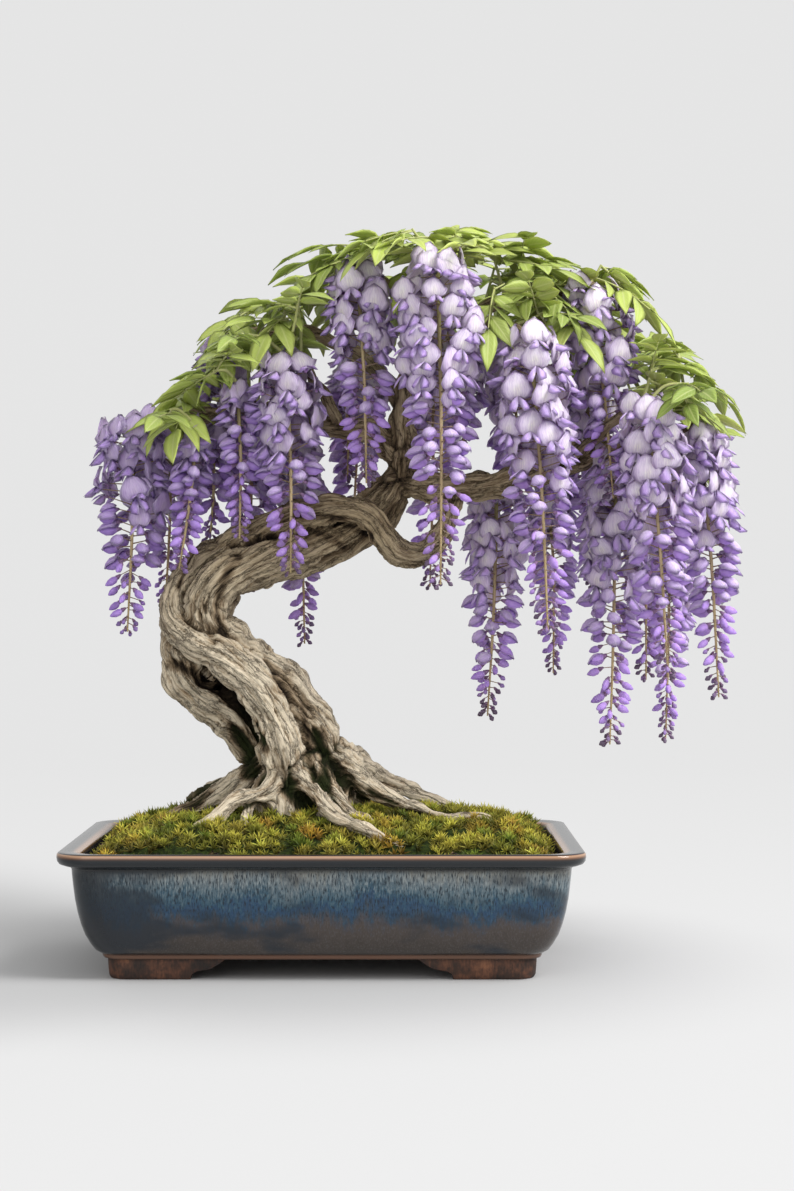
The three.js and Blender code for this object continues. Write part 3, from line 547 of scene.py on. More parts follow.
# The tree. Stops are in millimetres in the tray's frame, and each stem has its radii.
tree = {
    "voxel": 1.55,
    "limbVoxel": 1.6,
    "wander": 3.5,
    "grooves": [  # drawn on the front of the trunk, carved in and painted darker as painted shade: across and up, then half width and depth
        ([(-30, 222), (-16, 202), (-9, 182), (-4, 162), (-1, 142), (2, 122)], 4.5, 5.0),
        ([(-92, 272), (-74, 252), (-46, 238), (-30, 220)], 3.0, 3.0),
        ([(-116, 228), (-98, 219), (-78, 206), (-62, 190), (-50, 170)], 5.5, 4.5),
        ([(-74, 176), (-64, 166), (-56, 152)], 7.0, 5.0),
        ([(-104, 276), (-90, 258), (-84, 246)], 3.0, 3.0),
    ],
    "hollowShades": [  # places on the front sunk a little and painted dark and mossy as painted shade: across and up, then half width and darkness
        ([(-118, 228), (-100, 220), (-80, 207), (-62, 190)], 7.0, 0.6),
        ([(-66, 196), (-54, 182), (-46, 166)], 6.0, 0.9),
        ([(-36, 338), (-14, 342), (14, 338), (34, 326)], 4.0, 0.6),
        ([(-6, 330), (8, 322), (16, 316)], 4.0, 0.5),
        ([(-60, 322), (-40, 326)], 4.0, 0.5),
        ([(-66, 170), (-60, 156), (-58, 146)], 12.0, 1.0),
        ([(-45, 232), (-32, 214), (-18, 196), (-12, 174), (-8, 142)], 3.5, 0.7),
        ([(-4, 176), (0, 160), (2, 140)], 7.0, 1.0),
        ([(-26, 134), (-12, 122)], 10.0, 1.0),
        ([(8, 150), (20, 134), (30, 122)], 8.0, 0.9),
        ([(-66, 310), (-78, 290), (-82, 268), (-76, 252)], 5.0, 0.7),
        ([(-94, 330), (-106, 310), (-112, 290)], 3.5, 0.6),
        ([(-92, 138), (-104, 120), (-116, 108)], 9.0, 0.8),
        ([(34, 132), (60, 116), (84, 108)], 5.0, 0.8),
    ],
    "strands": [
        ([(-31, -16, 92), (-31, -22, 142), (-37, -26, 184), (-49, -29, 207), (-72, -26, 231),
          (-96, -17, 246), (-114, -6, 263), (-111, 2, 283), (-94, 3, 304), (-66, -5, 321),
          (-35, -14, 337), (-4, -20, 346), (19, -24, 347), (36, -27, 339), (45, -28, 326),
          (53, -25, 315), (67, -19, 311), (80, -11, 316), (92, -5, 332), (100, -1, 352),
          (108, 0, 364)],
         [23, 21, 19, 18, 17, 16, 16, 15, 15, 15, 14, 13.5, 12.5, 11, 10.5, 10, 10, 9.5, 9, 8, 7]),
        ([(0, -4, 92), (0, -9, 145), (-7, -12, 172), (-21, -14, 196), (-42, -12, 219),
          (-69, -10, 240), (-88, -12, 258), (-91, -16, 277), (-78, -19, 294), (-54, -16, 306),
          (-27, -8, 316), (0, -2, 325), (23, 2, 336), (42, 4, 351), (57, 3, 371), (61, 3, 388)],
         [25, 22, 20, 19, 18.5, 18, 18, 18, 17.5, 17, 16.5, 16, 15.5, 15, 14.5, 13]),
        ([(-48, 13, 92), (-49, 14, 142), (-60, 16, 165), (-75, 15, 188), (-97, 10, 204), (-111, 5, 223),
          (-115, 6, 246), (-105, 14, 268), (-86, 17, 285), (-60, 15, 298), (-28, 9, 308), (3, 6, 318),
          (28, 7, 330), (48, 8, 349), (60, 7, 372), (64, 6, 386)],
         [20, 17, 16, 16, 16, 15.5, 15, 15, 15, 15, 14.5, 14, 13.5, 13, 12.5, 11]),
        ([(-20, 20, 92), (-20, 24, 148), (-34, 22, 186), (-60, 18, 212), (-86, 16, 240), (-92, 20, 266),
          (-74, 24, 296), (-38, 22, 318), (2, 17, 334), (34, 12, 352), (54, 8, 374)],
         [24, 20, 19, 18, 17, 16, 16, 15, 14, 12, 10]),
    ],
    "roots": [
        ([(-30, -24, 150), (-42, -33, 134), (-56, -38, 128), (-70, -44, 124), (-82, -52, 115),
          (-92, -60, 107), (-104, -68, 100)],
         [13, 9, 6.6, 6, 5.6, 4.6, 2.6]),
        ([(-20, -24, 148), (-5, -42, 131), (8, -60, 118), (24, -76, 111), (36, -88, 106), (48, -96, 100),
          (62, -103, 94)], [13, 8.5, 7, 6, 5.4, 4.4, 2.4]),
        ([(4, -10, 160), (26, -16, 143), (46, -20, 128), (66, -21, 119), (86, -22, 111), (106, -24, 112),
          (126, -24, 109), (144, -26, 101)], [16, 10.5, 7.6, 6.2, 4.6, 4.2, 3.8, 2.4]),
        ([(8, 14, 156), (40, 26, 138), (66, 34, 126), (92, 40, 115), (112, 48, 104)],
         [15, 10, 7.5, 5.4, 2.6]),
        ([(-48, 6, 150), (-72, 8, 133), (-94, 8, 121), (-114, 4, 112), (-130, -2, 104)],
         [15, 10, 8, 6, 3]),
        ([(-50, 22, 138), (-76, 34, 128), (-98, 42, 122), (-114, 52, 110), (-124, 60, 102)],
         [14, 10, 9, 6, 2.6]),
        ([(-16, 26, 146), (-18, 52, 126), (-30, 74, 114), (-38, 90, 103), (-42, 100, 97)],
         [15, 10, 8, 5, 2.6]),
        ([(0, 22, 140), (22, 50, 122), (38, 72, 112), (54, 86, 103)], [13, 9, 7, 2.6]),
        ([(-6, -26, 150), (4, -36, 134), (16, -42, 122), (30, -44, 112), (46, -52, 103)],
         [12, 8, 6, 4.4, 2.4]),
        ([(-40, -22, 142), (-52, -28, 128), (-58, -42, 117), (-58, -58, 108), (-62, -72, 101)],
         [10, 7, 5, 4, 2.2]),
    ],
    "limbs": [
        ([(60, 4, 378), (58, 4, 420), (66, 0, 458), (78, -12, 492), (88, -26, 514)], [13, 10, 8, 6, 4.5]),
        ([(60, 3, 380), (42, 6, 404), (14, 4, 409), (-24, 2, 416), (-64, 0, 421), (-104, -4, 420),
          (-148, -10, 416)], [11, 9, 8, 6.5, 5.5, 4.5, 3]),
        ([(54, 3, 370), (88, 0, 364), (124, -2, 365), (164, -4, 375), (206, -10, 388), (248, -18, 404),
          (287, -22, 411)], [14, 11, 10, 8.5, 7, 5.5, 3.5]),
        ([(70, -2, 466), (64, -20, 494), (46, -38, 518), (27, -50, 527)], [6, 5, 4, 3]),
        ([(80, -14, 494), (84, -40, 514), (86, -70, 527), (85, -88, 530)], [5.5, 5, 4, 3]),
        ([(70, -3, 470), (104, -10, 494), (146, -20, 508), (184, -28, 515), (206, -31, 516)],
         [7.5, 6.5, 5.5, 4.5, 3.5]),
        ([(98, -8, 490), (122, -44, 488), (142, -72, 480), (154, -86, 473)], [5.5, 4.5, 4, 3]),
        ([(180, -6, 380), (206, -34, 402), (230, -60, 420), (241, -72, 424)], [6, 5, 4, 3]),
        ([(12, 4, 409), (-4, -16, 440), (-18, -34, 458), (-28, -45, 461)], [6, 4.5, 4, 3]),
        ([(-50, 1, 419), (-58, -20, 436), (-65, -38, 440)], [4.5, 3.5, 2.5]),
        ([(-86, -3, 420), (-94, -18, 414), (-98, -32, 411)], [4, 3, 2.5]),
        ([(58, 6, 428), (34, 30, 464), (-4, 44, 486), (-46, 42, 490), (-82, 30, 485)], [7.5, 6, 5, 4, 3]),
        ([(16, 5, 409), (-10, 40, 424), (-50, 68, 432), (-96, 74, 428), (-126, 62, 418)],
         [6.5, 5.5, 5, 4, 3]),
        ([(63, 2, 444), (70, 40, 472), (78, 76, 492), (84, 106, 498)], [7, 5.5, 4.5, 3]),
        ([(68, 30, 465), (116, 56, 488), (164, 80, 490), (208, 88, 476)], [6, 5.5, 4.5, 3]),
        ([(150, -3, 370), (168, 40, 392), (200, 80, 402), (240, 98, 392), (274, 100, 376)],
         [8, 6, 5, 4, 3]),
        ([(104, -1, 364), (118, 26, 374), (134, 50, 372)], [6, 4.5, 3]),
    ],
}


bark = {
    "along": {  # patterns that follow a stem: mm around and along, a seed for each stem and one for all
        "swell": (9, 70, 7.3, 0),
        "seam": (7.5, 55, 3.1, 40),
        "fibre": (3.0, 24, 5.7, 0),
        "flake": (2.1, 9, 2.9, 0),
        "plate": (9, 25, 1.7, 0),
    },
    "depths": {  # the value that leaves the surface where it is, and the millimetres for one more
        "swell": (0, 2.0), "seam": (0.8, 3.4), "fibre": (0.6, 1.7), "flake": (0, 0.5), "knob": (0, 1.5),
        "crease": (1, 4.4), "plate": (1, 0.9),
    },
    "shades": {"seam": 0.28, "fibre": 0.22, "flake": 0.2, "crease": 0.35, "plate": 0.15},
    "shadeFrom": -0.06,
    "seamWide": 0.16,
    "fibreWide": 0.3,
    "plateWide": 0.22,
    "creaseWide": 5,  # millimetres over which two stems that meet draw a crease
    "twist": 0.006,  # radians for each millimetre of stem
    "knobs": (17, 8, 0.9),  # millimetres from knob to knob, and on roots and limbs smaller ones too
    "fullDepthRadius": 13,
    "hollowDepth": 2.2,
    "hollowTop": 352,
    "dampFrom": (215, 80),  # the height that stays dry, and how far below it all is damp
    "footFrom": (104, 14),
    # from how far back the trunk takes the dark moss stain as painted shade, and over how many millimetres
    # it grows
    "shadeBehind": (18, 40),
    "clouds": {  # cells in a metre around and along, and their detail
        "fibres": ((1050, 1050, 55), 4.0),  # 0.9 mm wide and 18 mm long
        "patches": ((45, 45, 45), 3.0),  # 22 mm weathered patches
        "ragged": ((380, 380, 110), 3.0),
    },
    "gaps": {  # plates 7 mm wide and 45 mm long, and a crackle 3 mm wide; how ragged their borders are
        "plates": ((150, 150, 22), 0.34),
        "crackle": ((360, 360, 50), 0.4),
    },
    "pale": [(0.0, "#3d2f24"), (0.22, "#7b6a52"), (0.42, "#9d886d"), (0.65, "#bca98e"), (0.9, "#dfd1b8")],
    "dark": [(0.0, "#22170f"), (0.25, "#4e3f2f"), (0.45, "#6d5c46"), (0.7, "#8d7b60"), (0.95, "#ac9a7c")],
    "darkFrom": (0.225, 0.33),  # metres up the trunk
    # Dark lines in the crackle and between the plates, and where the bark sinks into creases, grooves and
    # hollows it is painted near black: painted shade
    "cracks": {"crackle": (0.09, 0.42, "#3a2e21"), "plates": (0.05, 0.75, "#1c140c"),
               "relief": (0.44, 0.88, "#160e09")},
    "mossAndShadeStain": "#273013",
}


def sampleStems(stems):  # points along every stem, each with its own sense of across and along
    samples = []
    for number, (stops, radii) in enumerate(stems):
        line, length = routeThrough(stops, 2.0)
        last = len(line) - 1
        across = Vector((0, 1, 0))
        for i, at in enumerate(line):
            down = (line[min(i + 1, last)] - line[max(i - 1, 0)]).normalized()
            across = (across - down * across.dot(down)).normalized()
            samples.append((
                at, down, across, down.cross(across), alongList(radii, i / last), length * i / last, number,
            ))
    near = kdtree.KDTree(len(samples))
    for i, sample in enumerate(samples):
        near.insert(sample[0], i)
    near.balance()
    return samples, near


def ridged(value, width):  # 1 on a ridge, down to 0 in a thin crease
    return min(1.0, abs(value) / width)


def drawnDepth(kind, spot, normal):  # how far a spot on the front lies into a drawn groove or hollow
    deepest = 0.0
    if normal.y > 0.25:
        return deepest
    for line, width, depth in tree[kind]:
        for (x0, z0), (x1, z1) in zip(line, line[1:]):
            run = Vector((x1 - x0, z1 - z0))
            away = Vector((spot.x - x0, spot.z - z0))
            gap = (away - run * clamp(away.dot(run) / run.length_squared)).length / width
            if gap < 1:
                deepest = max(deepest, depth * (1 - gap * gap))
    return deepest


def nearestStem(spot, samples, near):  # the sample that the spot lies on, and the gap to another stem's
    best, second = None, 1e9
    for _, index, distance in near.find_n(spot, 14):
        over = distance - samples[index][4]
        if best is None or over < best[0]:
            if best is not None and best[1][6] != samples[index][6]:
                second = best[0]
            best = (over, samples[index])
        elif samples[index][6] != best[1][6]:
            second = min(second, over)
    return best[1], second - best[0]


def barkForms(spot, sample, gap):  # each form of the bark at a spot, and where that is along the stem
    at, down, across, beside, radius, run, number = sample
    out = spot - at
    run += out.dot(down)
    angle = math.atan2(out.dot(beside), out.dot(across)) + run * bark["twist"]
    wide = max(4.0, radius)
    u, w = math.cos(angle) * wide, math.sin(angle) * wide
    places = {
        name: Vector((u / around, w / around, run / along + number * stemSeed + seed))
        for name, (around, along, stemSeed, seed) in bark["along"].items()
    }
    large, small, smallShare = bark["knobs"]
    nearest, farther = noise.voronoi(places["plate"])[0][:2]
    forms = {
        "swell": noise.noise(places["swell"]),
        "seam": ridged(noise.noise(places["seam"]), bark["seamWide"]),
        "fibre": ridged(noise.noise(places["fibre"]), bark["fibreWide"]),
        "flake": noise.noise(places["flake"]),
        "knob": noise.noise(spot / large) + (smallShare * noise.noise(spot / small) if number > 3 else 0),
        "crease": clamp(gap / bark["creaseWide"]),  # 0 where two stems meet
        "plate": min(1.0, (farther - nearest) / bark["plateWide"]),
    }
    return forms, (u * mm, w * mm, run * mm)


def carveBark(mesh, stems, strength):
    samples, near = sampleStems(stems)
    flows, creaseShades, mossAndShades, places = [], [], [], []
    (dryTop, dampDeep), (footTop, footDeep), (behind, behindDeep) = [
        bark[name] for name in ("dampFrom", "footFrom", "shadeBehind")
    ]
    for v in mesh.vertices:
        spot = Vector(((v.co.x - trayMiddle.x) / mm, (v.co.y - trayMiddle.y) / mm, v.co.z / mm))
        sample, gap = nearestStem(spot, samples, near)
        forms, flow = barkForms(spot, sample, gap)
        groove = drawnDepth("grooves", spot, v.normal) if sample[6] < 4 else 0.0
        hollowShade = drawnDepth("hollowShades", spot, v.normal) if spot.z < bark["hollowTop"] else 0.0
        scale = min(1.0, sample[4] / bark["fullDepthRadius"]) * strength
        depth = sum((forms[name] - level) * deep for name, (level, deep) in bark["depths"].items())
        places.append(v.co + v.normal * (depth * scale - groove - hollowShade * bark["hollowDepth"]) * mm)
        # Ridges are painted lighter and seams, creases, grooves and hollows darker: painted light and shade
        shade = bark["shadeFrom"] + sum(forms[name] * share for name, share in bark["shades"].items())
        creaseShades.append(clamp(shade - groove * 0.07 - hollowShade * 0.75))
        flows.extend(flow)
        low = clamp((dryTop - spot.z) / dampDeep)
        foot = max(0.0, 1 - (spot.z - footTop) / footDeep)
        # Moss near the roots, in creases and grooves and at the trunk's foot; the back of the trunk and the
        # hollows take the same dark stain as painted shade
        stainAndShade = low * (1 - forms["crease"]) * 1.1 + low * (1 - forms["seam"]) * 0.2 + foot * 0.5
        stainAndShade += low * groove * 0.2 + low * min(0.5, max(0.0, spot.y - behind) / behindDeep)
        mossAndShades.append(min(1.0, stainAndShade + hollowShade * low))
    for v, place in zip(mesh.vertices, places):
        v.co = place
    addAttribute(mesh, "flow", "FLOAT_VECTOR", "vector", flows)
    addAttribute(mesh, "relief", "FLOAT", "value", creaseShades)
    addAttribute(mesh, "mossAndShade", "FLOAT", "value", mossAndShades)


def buildTree():
    material = barkMaterial()
    trunkStems = tree["strands"] + tree["roots"]
    for name, stems, voxel, strength in (
        ("trunkAndRoots", trunkStems, tree["voxel"], 1.0),
        ("limbs", tree["limbs"], tree["limbVoxel"], 0.8),
    ):
        mesh = tubes(name, stems, 3.0, 6, tree["wander"])
        mesh = applied(mesh, "REMESH", mode="VOXEL", voxel_size=voxel * mm)
        mesh = applied(mesh, "SMOOTH", factor=0.5, iterations=2)
        carveBark(mesh, trunkStems + tree["limbs"], strength)
        newPiece(name, mesh, material, "bark", "tree")
        print(name, "built,", len(mesh.polygons), "faces")


def barkMaterial():
    # Old wisteria bark: grey-tan, dry and fibrous, split into long plates with dark seams. The
    # lower trunk is paler than the upper trunk and the limbs, and moss stains the creases near the
    # roots. Ridges are painted lighter and creases, grooves and hollows darker, painted light and
    # shade, and the hollows and the back of the trunk take the moss stain as painted shade.
    material, shader = newMaterial("wisteriaBark", 0.88, {"Specular IOR Level": 0.2})
    flow = addNode(material, "Attribute", {"attribute_name": "flow"}).outputs["Vector"]
    relief, mossAndShade = [
        addNode(material, "Attribute", {"attribute_name": name}).outputs["Fac"]
        for name in ("relief", "mossAndShade")
    ]
    where = addNode(material, "TexCoord").outputs["Object"]
    split = addNode(material, "SeparateXYZ", links={"Vector": where})
    clouds = {}
    for name, (scale, detail) in bark["clouds"].items():
        spread = addNode(material, "Mapping", None, {"Scale": scale},
                         {"Vector": where if name == "patches" else flow})
        clouds[name] = addNode(material, "TexNoise", None, {
            "Scale": 1.0, "Detail": detail, "Roughness": 0.62,
        }, {"Vector": spread})
    gaps = {"relief": relief}
    for name, (scale, stray) in bark["gaps"].items():
        spread = addNode(material, "Mapping", None, {"Scale": scale}, {"Vector": flow})
        strayed = addNode(material, "Mix", {**rgba, "blend_type": "LINEAR_LIGHT"}, {0: stray},
                          {6: spread, 7: clouds["ragged"].outputs["Color"]})
        gaps[name] = addNode(material, "TexVoronoi", {"feature": "DISTANCE_TO_EDGE"}, {"Scale": 1.0},
                             {"Vector": strayed})
    tone = relief
    for name, weight in (("fibres", 1.1), ("patches", 0.5)):
        tone = addNode(material, "Math", {"operation": "MULTIPLY_ADD"}, {1: weight},
                       {0: clouds[name], 2: tone})
    level = addNode(material, "MapRange", None, {"From Min": 0.7, "From Max": 1.65}, {"Value": tone})
    pale, dark = [
        addNode(material, "ValToRGB", links={"Fac": level}, stops=bark[name])
        for name in ("pale", "dark")
    ]
    low, high = bark["darkFrom"]
    higher = addNode(material, "MapRange", None, {"From Min": low, "From Max": high},
                     {"Value": split.outputs["Z"]})
    colour = addNode(material, "Mix", rgba, None, {0: higher, 6: pale, 7: dark})
    for name, (wide, most, crack) in bark["cracks"].items():
        share = addNode(material, "MapRange", None, {
            "From Min": 0.0, "From Max": wide, "To Min": most, "To Max": 0.0,
        }, {"Value": gaps[name]})
        colour = addNode(material, "Mix", rgba, {7: paint(crack)}, {0: share, 6: colour})
    # The dark moss stain: real moss near the roots, and painted shade at the back of the trunk and in the
    # hollows
    mossAndShadeShare = addNode(material, "Math", {"operation": "MULTIPLY"}, None, {0: mossAndShade, 1: clouds["patches"]})
    share = addNode(material, "MapRange", None, {"From Min": 0.24, "From Max": 0.5, "To Max": 0.85},
                    {"Value": mossAndShadeShare})
    colour = addNode(material, "Mix", rgba, {7: paint(bark["mossAndShadeStain"])}, {0: share, 6: colour})
    link(material, colour, shader, "Base Color")
    rough = addNode(material, "MapRange", None, {"From Min": 0.0, "From Max": 0.12},
                    {"Value": gaps["plates"]})
    for source in (clouds["fibres"], gaps["crackle"]):
        rough = addNode(material, "Math", {"operation": "MULTIPLY_ADD"}, {1: 0.9}, {0: source, 2: rough})
    bump = addNode(material, "Bump", None, {"Strength": 0.9, "Distance": 1.7 * mm}, {"Height": rough})
    link(material, bump, shader, "Normal")
    return material


# Small forms that are stamped many times: each is modelled once, and every copy is real mesh
def petalSheet(bm, columns, rows, shape, thickness, part):
    # Two grids that share their border: a thin closed blade, thickest in the middle
    layer = bm.verts.layers.float_vector["place"]
    step = 0.02
    for side in (1, -1):
        fresh = bmesh.ops.create_grid(bm, x_segments=columns, y_segments=rows, size=1)["verts"]
        for v in fresh:
            u, w = v.co.x, (v.co.y + 1) / 2
            alongU = shape(u + step, w) - shape(u - step, w)
            alongW = shape(u, w + step) - shape(u, w - step)
            edge = (1 - u * u) * (1 - (2 * w - 1) ** 2)
            v[layer] = (u, w, part)
            v.co = shape(u, w) + alongU.cross(alongW).normalized() * side * thickness / 2 * max(0.0, edge)
        if side < 0:
            bmesh.ops.reverse_faces(bm, faces=list({f for v in fresh for f in v.link_faces}))
    bmesh.ops.remove_doubles(bm, verts=[v for v in bm.verts if v[layer][2] == part], dist=0.004)


def master(shapeIt):  # a form in millimetres, as plain lists
    bm = bmesh.new()
    bm.verts.layers.float_vector.new("place")
    shapeIt(bm)
    layer = bm.verts.layers.float_vector["place"]
    bm.verts.index_update()
    made = {
        "points": [v.co * mm for v in bm.verts],
        "faces": [[v.index for v in f.verts] for f in bm.faces],
        "places": [tuple(v[layer]) for v in bm.verts],
    }
    bm.free()
    return made


def stampMesh(name, stamps):  # each stamp: a master, a matrix, and the shade of each of its places
    points, faces, places, shades = [], [], [], []
    for form, matrix, shadeOf in stamps:
        start = len(points)
        points.extend(matrix @ p for p in form["points"])
        faces.extend([start + i for i in face] for face in form["faces"])
        for place in form["places"]:
            places.extend(place)
            shades.extend(shadeOf(place))
    mesh = bpy.data.meshes.new(name)
    mesh.from_pydata(points, [], faces)
    addAttribute(mesh, "place", "FLOAT_VECTOR", "vector", places)
    addAttribute(mesh, "shade", "FLOAT_COLOR", "color", shades)
    return mesh


def aim(outward, upward):  # a turn that takes +X to outward and +Z as near as it can to upward
    x = outward.normalized()
    y = upward.cross(x).normalized()
    return Matrix((x, y, x.cross(y))).transposed().to_4x4()


# Wisteria florets, in millimetres: +X away from the stalk, +Z up. Across a petal u runs from -1 to
# 1, and w runs from its claw at 0 to its far end at 1.
banner, wing, farWing, calyx, pedicel, budPart = 0, 1, 1.5, 3, 4, 5  # which part a point is on
floret = {
    "bannerHalf": [2.2, 8.4, 11.0, 9.8, 6.2, 0.4],  # half its width, from the claw to the point
    "bannerRise": [0.0, 3.4, 7.4, 11.7, 16.0, 19.6],
    "bannerSweep": 3.8,  # how far its sides lie back
    "bannerCrease": 0.9,
    "bannerRuffle": 2.1,
    "hoodHalf": [2.4, 6.2, 7.6, 6.4, 1.2],
    "hoodReach": 15.5,
    "wingHalf": [1.2, 3.7, 4.3, 3.3, 0.3],
    "wingLength": 14.5,
    "thickness": 0.5,
    "keel": (15.5, 3.5, 6, 5),  # length, half width, sides, rings
    "bud": (11.4, 2.35, 6, 5),
    "tipBud": (5.4, 1.7, 5, 4),
    "pedicelRadii": (0.55, 0.42),
}


def openBanner(u, w):  # a sail with a crease down its middle, its sides swept back and its edge ruffled
    half = alongList(floret["bannerHalf"], w)
    rise = alongList(floret["bannerRise"], w)
    out = 3.2 + 2.6 * math.sin(math.pi * clamp(w) * 0.6) - 4.0 * w * w
    swept = -floret["bannerSweep"] * abs(u) * (1.0 - 0.45 * w)
    swept -= floret["bannerCrease"] * math.exp(-(u * 3.5) ** 2)
    corner = 3.2 * u * u * math.exp(-((w - 0.3) / 0.2) ** 2)
    ruffle = floret["bannerRuffle"] * math.sin(8 * w + 5 * u + 1) * u * u
    return Vector((out + swept + corner + ruffle, half * u, rise - 1.5 * u * u * (1 - w)))


def hoodedBanner(u, w):  # a banner that is still folded forward over the wings
    half = alongList(floret["hoodHalf"], w)
    bend = 1.25 * u
    top = 2.2 + 5.0 * math.sin(math.pi * (0.12 + 0.7 * w)) - 3.2 * w * w
    return Vector((
        2.0 + floret["hoodReach"] * w,
        half * math.sin(bend) * 0.9,
        top - half * (1 - math.cos(bend)) * 0.95 + 0.7 * math.sin(7 * w + 3 * u) * u * u,
    ))


def wingBlade(side):  # wings meet in a ridge below the banner and slope away like a roof
    lengthWay = Vector((0.74, side * 0.14, -0.62)).normalized()
    widthWay = Vector((-0.3, side * 0.8, -0.42)).normalized()
    bulgeWay = lengthWay.cross(widthWay) * side

    def shape(u, w):
        half = alongList(floret["wingHalf"], w)
        bulge = 1.5 * (1 - u * u) * math.sin(math.pi * clamp(w))
        along = Vector((3.4, side * 0.4, 3.0)) + lengthWay * floret["wingLength"] * w
        return along + widthWay * half * (u + 0.7) + bulgeWay * bulge
    return shape


def markPart(bm, verts, part, lowX, highX):
    layer = bm.verts.layers.float_vector["place"]
    for v in verts:
        v[layer] = (0, clamp((v.co.x - lowX) / (highX - lowX)), part)


def addCone(bm, part, sides, radii, start, length):  # along +X
    turn = Matrix.Translation((start + length / 2, 0, 0)) @ Matrix.Rotation(math.radians(90), 4, "Y")
    made = bmesh.ops.create_cone(bm, cap_ends=True, segments=sides, radius1=radii[0], radius2=radii[1],
                                 depth=length, matrix=turn)["verts"]
    markPart(bm, made, part, start, start + length)


def addCalyx(bm, length, radius):
    addCone(bm, calyx, 5, (radius * 0.35, radius), -0.8, length)


def addBoat(bm, length, half, columns, rows):  # a closed petal boat with a drawn-out far end
    turn = Matrix.Rotation(math.radians(90), 4, "Y")
    made = bmesh.ops.create_uvsphere(bm, u_segments=columns, v_segments=rows, radius=1, matrix=turn)
    start = 1.2
    for v in made["verts"]:
        share = (v.co.x + 1) / 2
        fat = (0.62 + 0.62 * math.sin(min(1.0, share * 1.1) * math.pi * 0.85)) * (1.12 - 0.3 * share)
        lift = 0.13 * length * share * (share - 0.55)
        high = v.co.z * half * 1.1 * fat + lift
        v.co = Vector((start + share * length, v.co.y * half * fat * 0.86, high))
    markPart(bm, made["verts"], budPart, start, start + length)


def shapeOpenFloret(bm):
    petalSheet(bm, 6, 5, openBanner, floret["thickness"], banner)
    petalSheet(bm, 2, 3, wingBlade(1), floret["thickness"], wing)
    petalSheet(bm, 2, 3, wingBlade(-1), floret["thickness"], farWing)
    addCalyx(bm, 4.4, 2.3)


def shapeHoodedFloret(bm):
    petalSheet(bm, 4, 4, hoodedBanner, floret["thickness"], banner)
    addBoat(bm, *floret["keel"])
    addCalyx(bm, 4.2, 2.3)


def shapeBud(bm):
    addBoat(bm, *floret["bud"])
    addCalyx(bm, 3.4, 2.0)


def shapeTipBud(bm):
    addBoat(bm, *floret["tipBud"])
    addCalyx(bm, 2.4, 1.4)


def shapePedicel(bm):  # one millimetre long along +X, scaled to each length
    addCone(bm, pedicel, 4, floret["pedicelRadii"], 0, 1)


petalPaint = {
    "bannerHeart": paint("#fceefa"),
    "bannerEdge": paint("#d5b8ea"),
    "blotch": paint("#f2ecd2"),
    "stripe": paint("#84659f"),
    "hood": paint("#eedaf8"),
    "hoodEdge": paint("#c5a7e6"),
    "wing": paint("#dac1f1"),
    "wingTip": paint("#a482d8"),
    "calyx": paint("#8b6f86"),
    "pedicel": paint("#98866a"),
    "bud": paint("#d2b2ec"),
    "budTip": paint("#a080ce"),
    "budFar": paint("#6e6070"),
    "violet": paint("#9f82c9"),
}


def petalTone(part, u, w, age):
    if part == banner and age < openUntil:
        tone = blendPaint(petalPaint["bannerHeart"], petalPaint["bannerEdge"],
                          min(1.0, abs(u) ** 2 * 0.75 + w ** 5 * 0.5 + age * 0.7))
        claw = math.exp(-((u / 0.55) ** 2) - (w / 0.2) ** 2)
        blotch = math.exp(-((u / 0.3) ** 2) - ((w - 0.34) / 0.16) ** 2)
        tone = blendPaint(tone, petalPaint["stripe"], claw * 0.6)
        return blendPaint(tone, petalPaint["blotch"], blotch * 0.6)
    if part == banner:
        return blendPaint(petalPaint["hood"], petalPaint["hoodEdge"], abs(u) * 0.7 + w * 0.3 + (age - 0.4))
    if part in (wing, farWing):
        return blendPaint(petalPaint["wing"], petalPaint["wingTip"], w * 0.6 + u * 0.25 + age * 0.4)
    tone = blendPaint(petalPaint["bud"], petalPaint["budTip"], w * 0.8)
    return blendPaint(tone, petalPaint["budFar"], (age - 0.86) * 7)


def floretShade(age, lightness, violet):  # age: 0 an open floret, 1 the last bud
    def shade(place):
        u, w, part = place
        if part == calyx:
            tone = blendPaint(petalPaint["calyx"], petalPaint["bud"], w * 0.6 * (1 - age))
        elif part == pedicel:
            tone = petalPaint["pedicel"]
        else:
            tone = blendPaint(petalTone(part, u, w, age), petalPaint["violet"], violet)
        return litPaint(tone, lightness)
    return shade


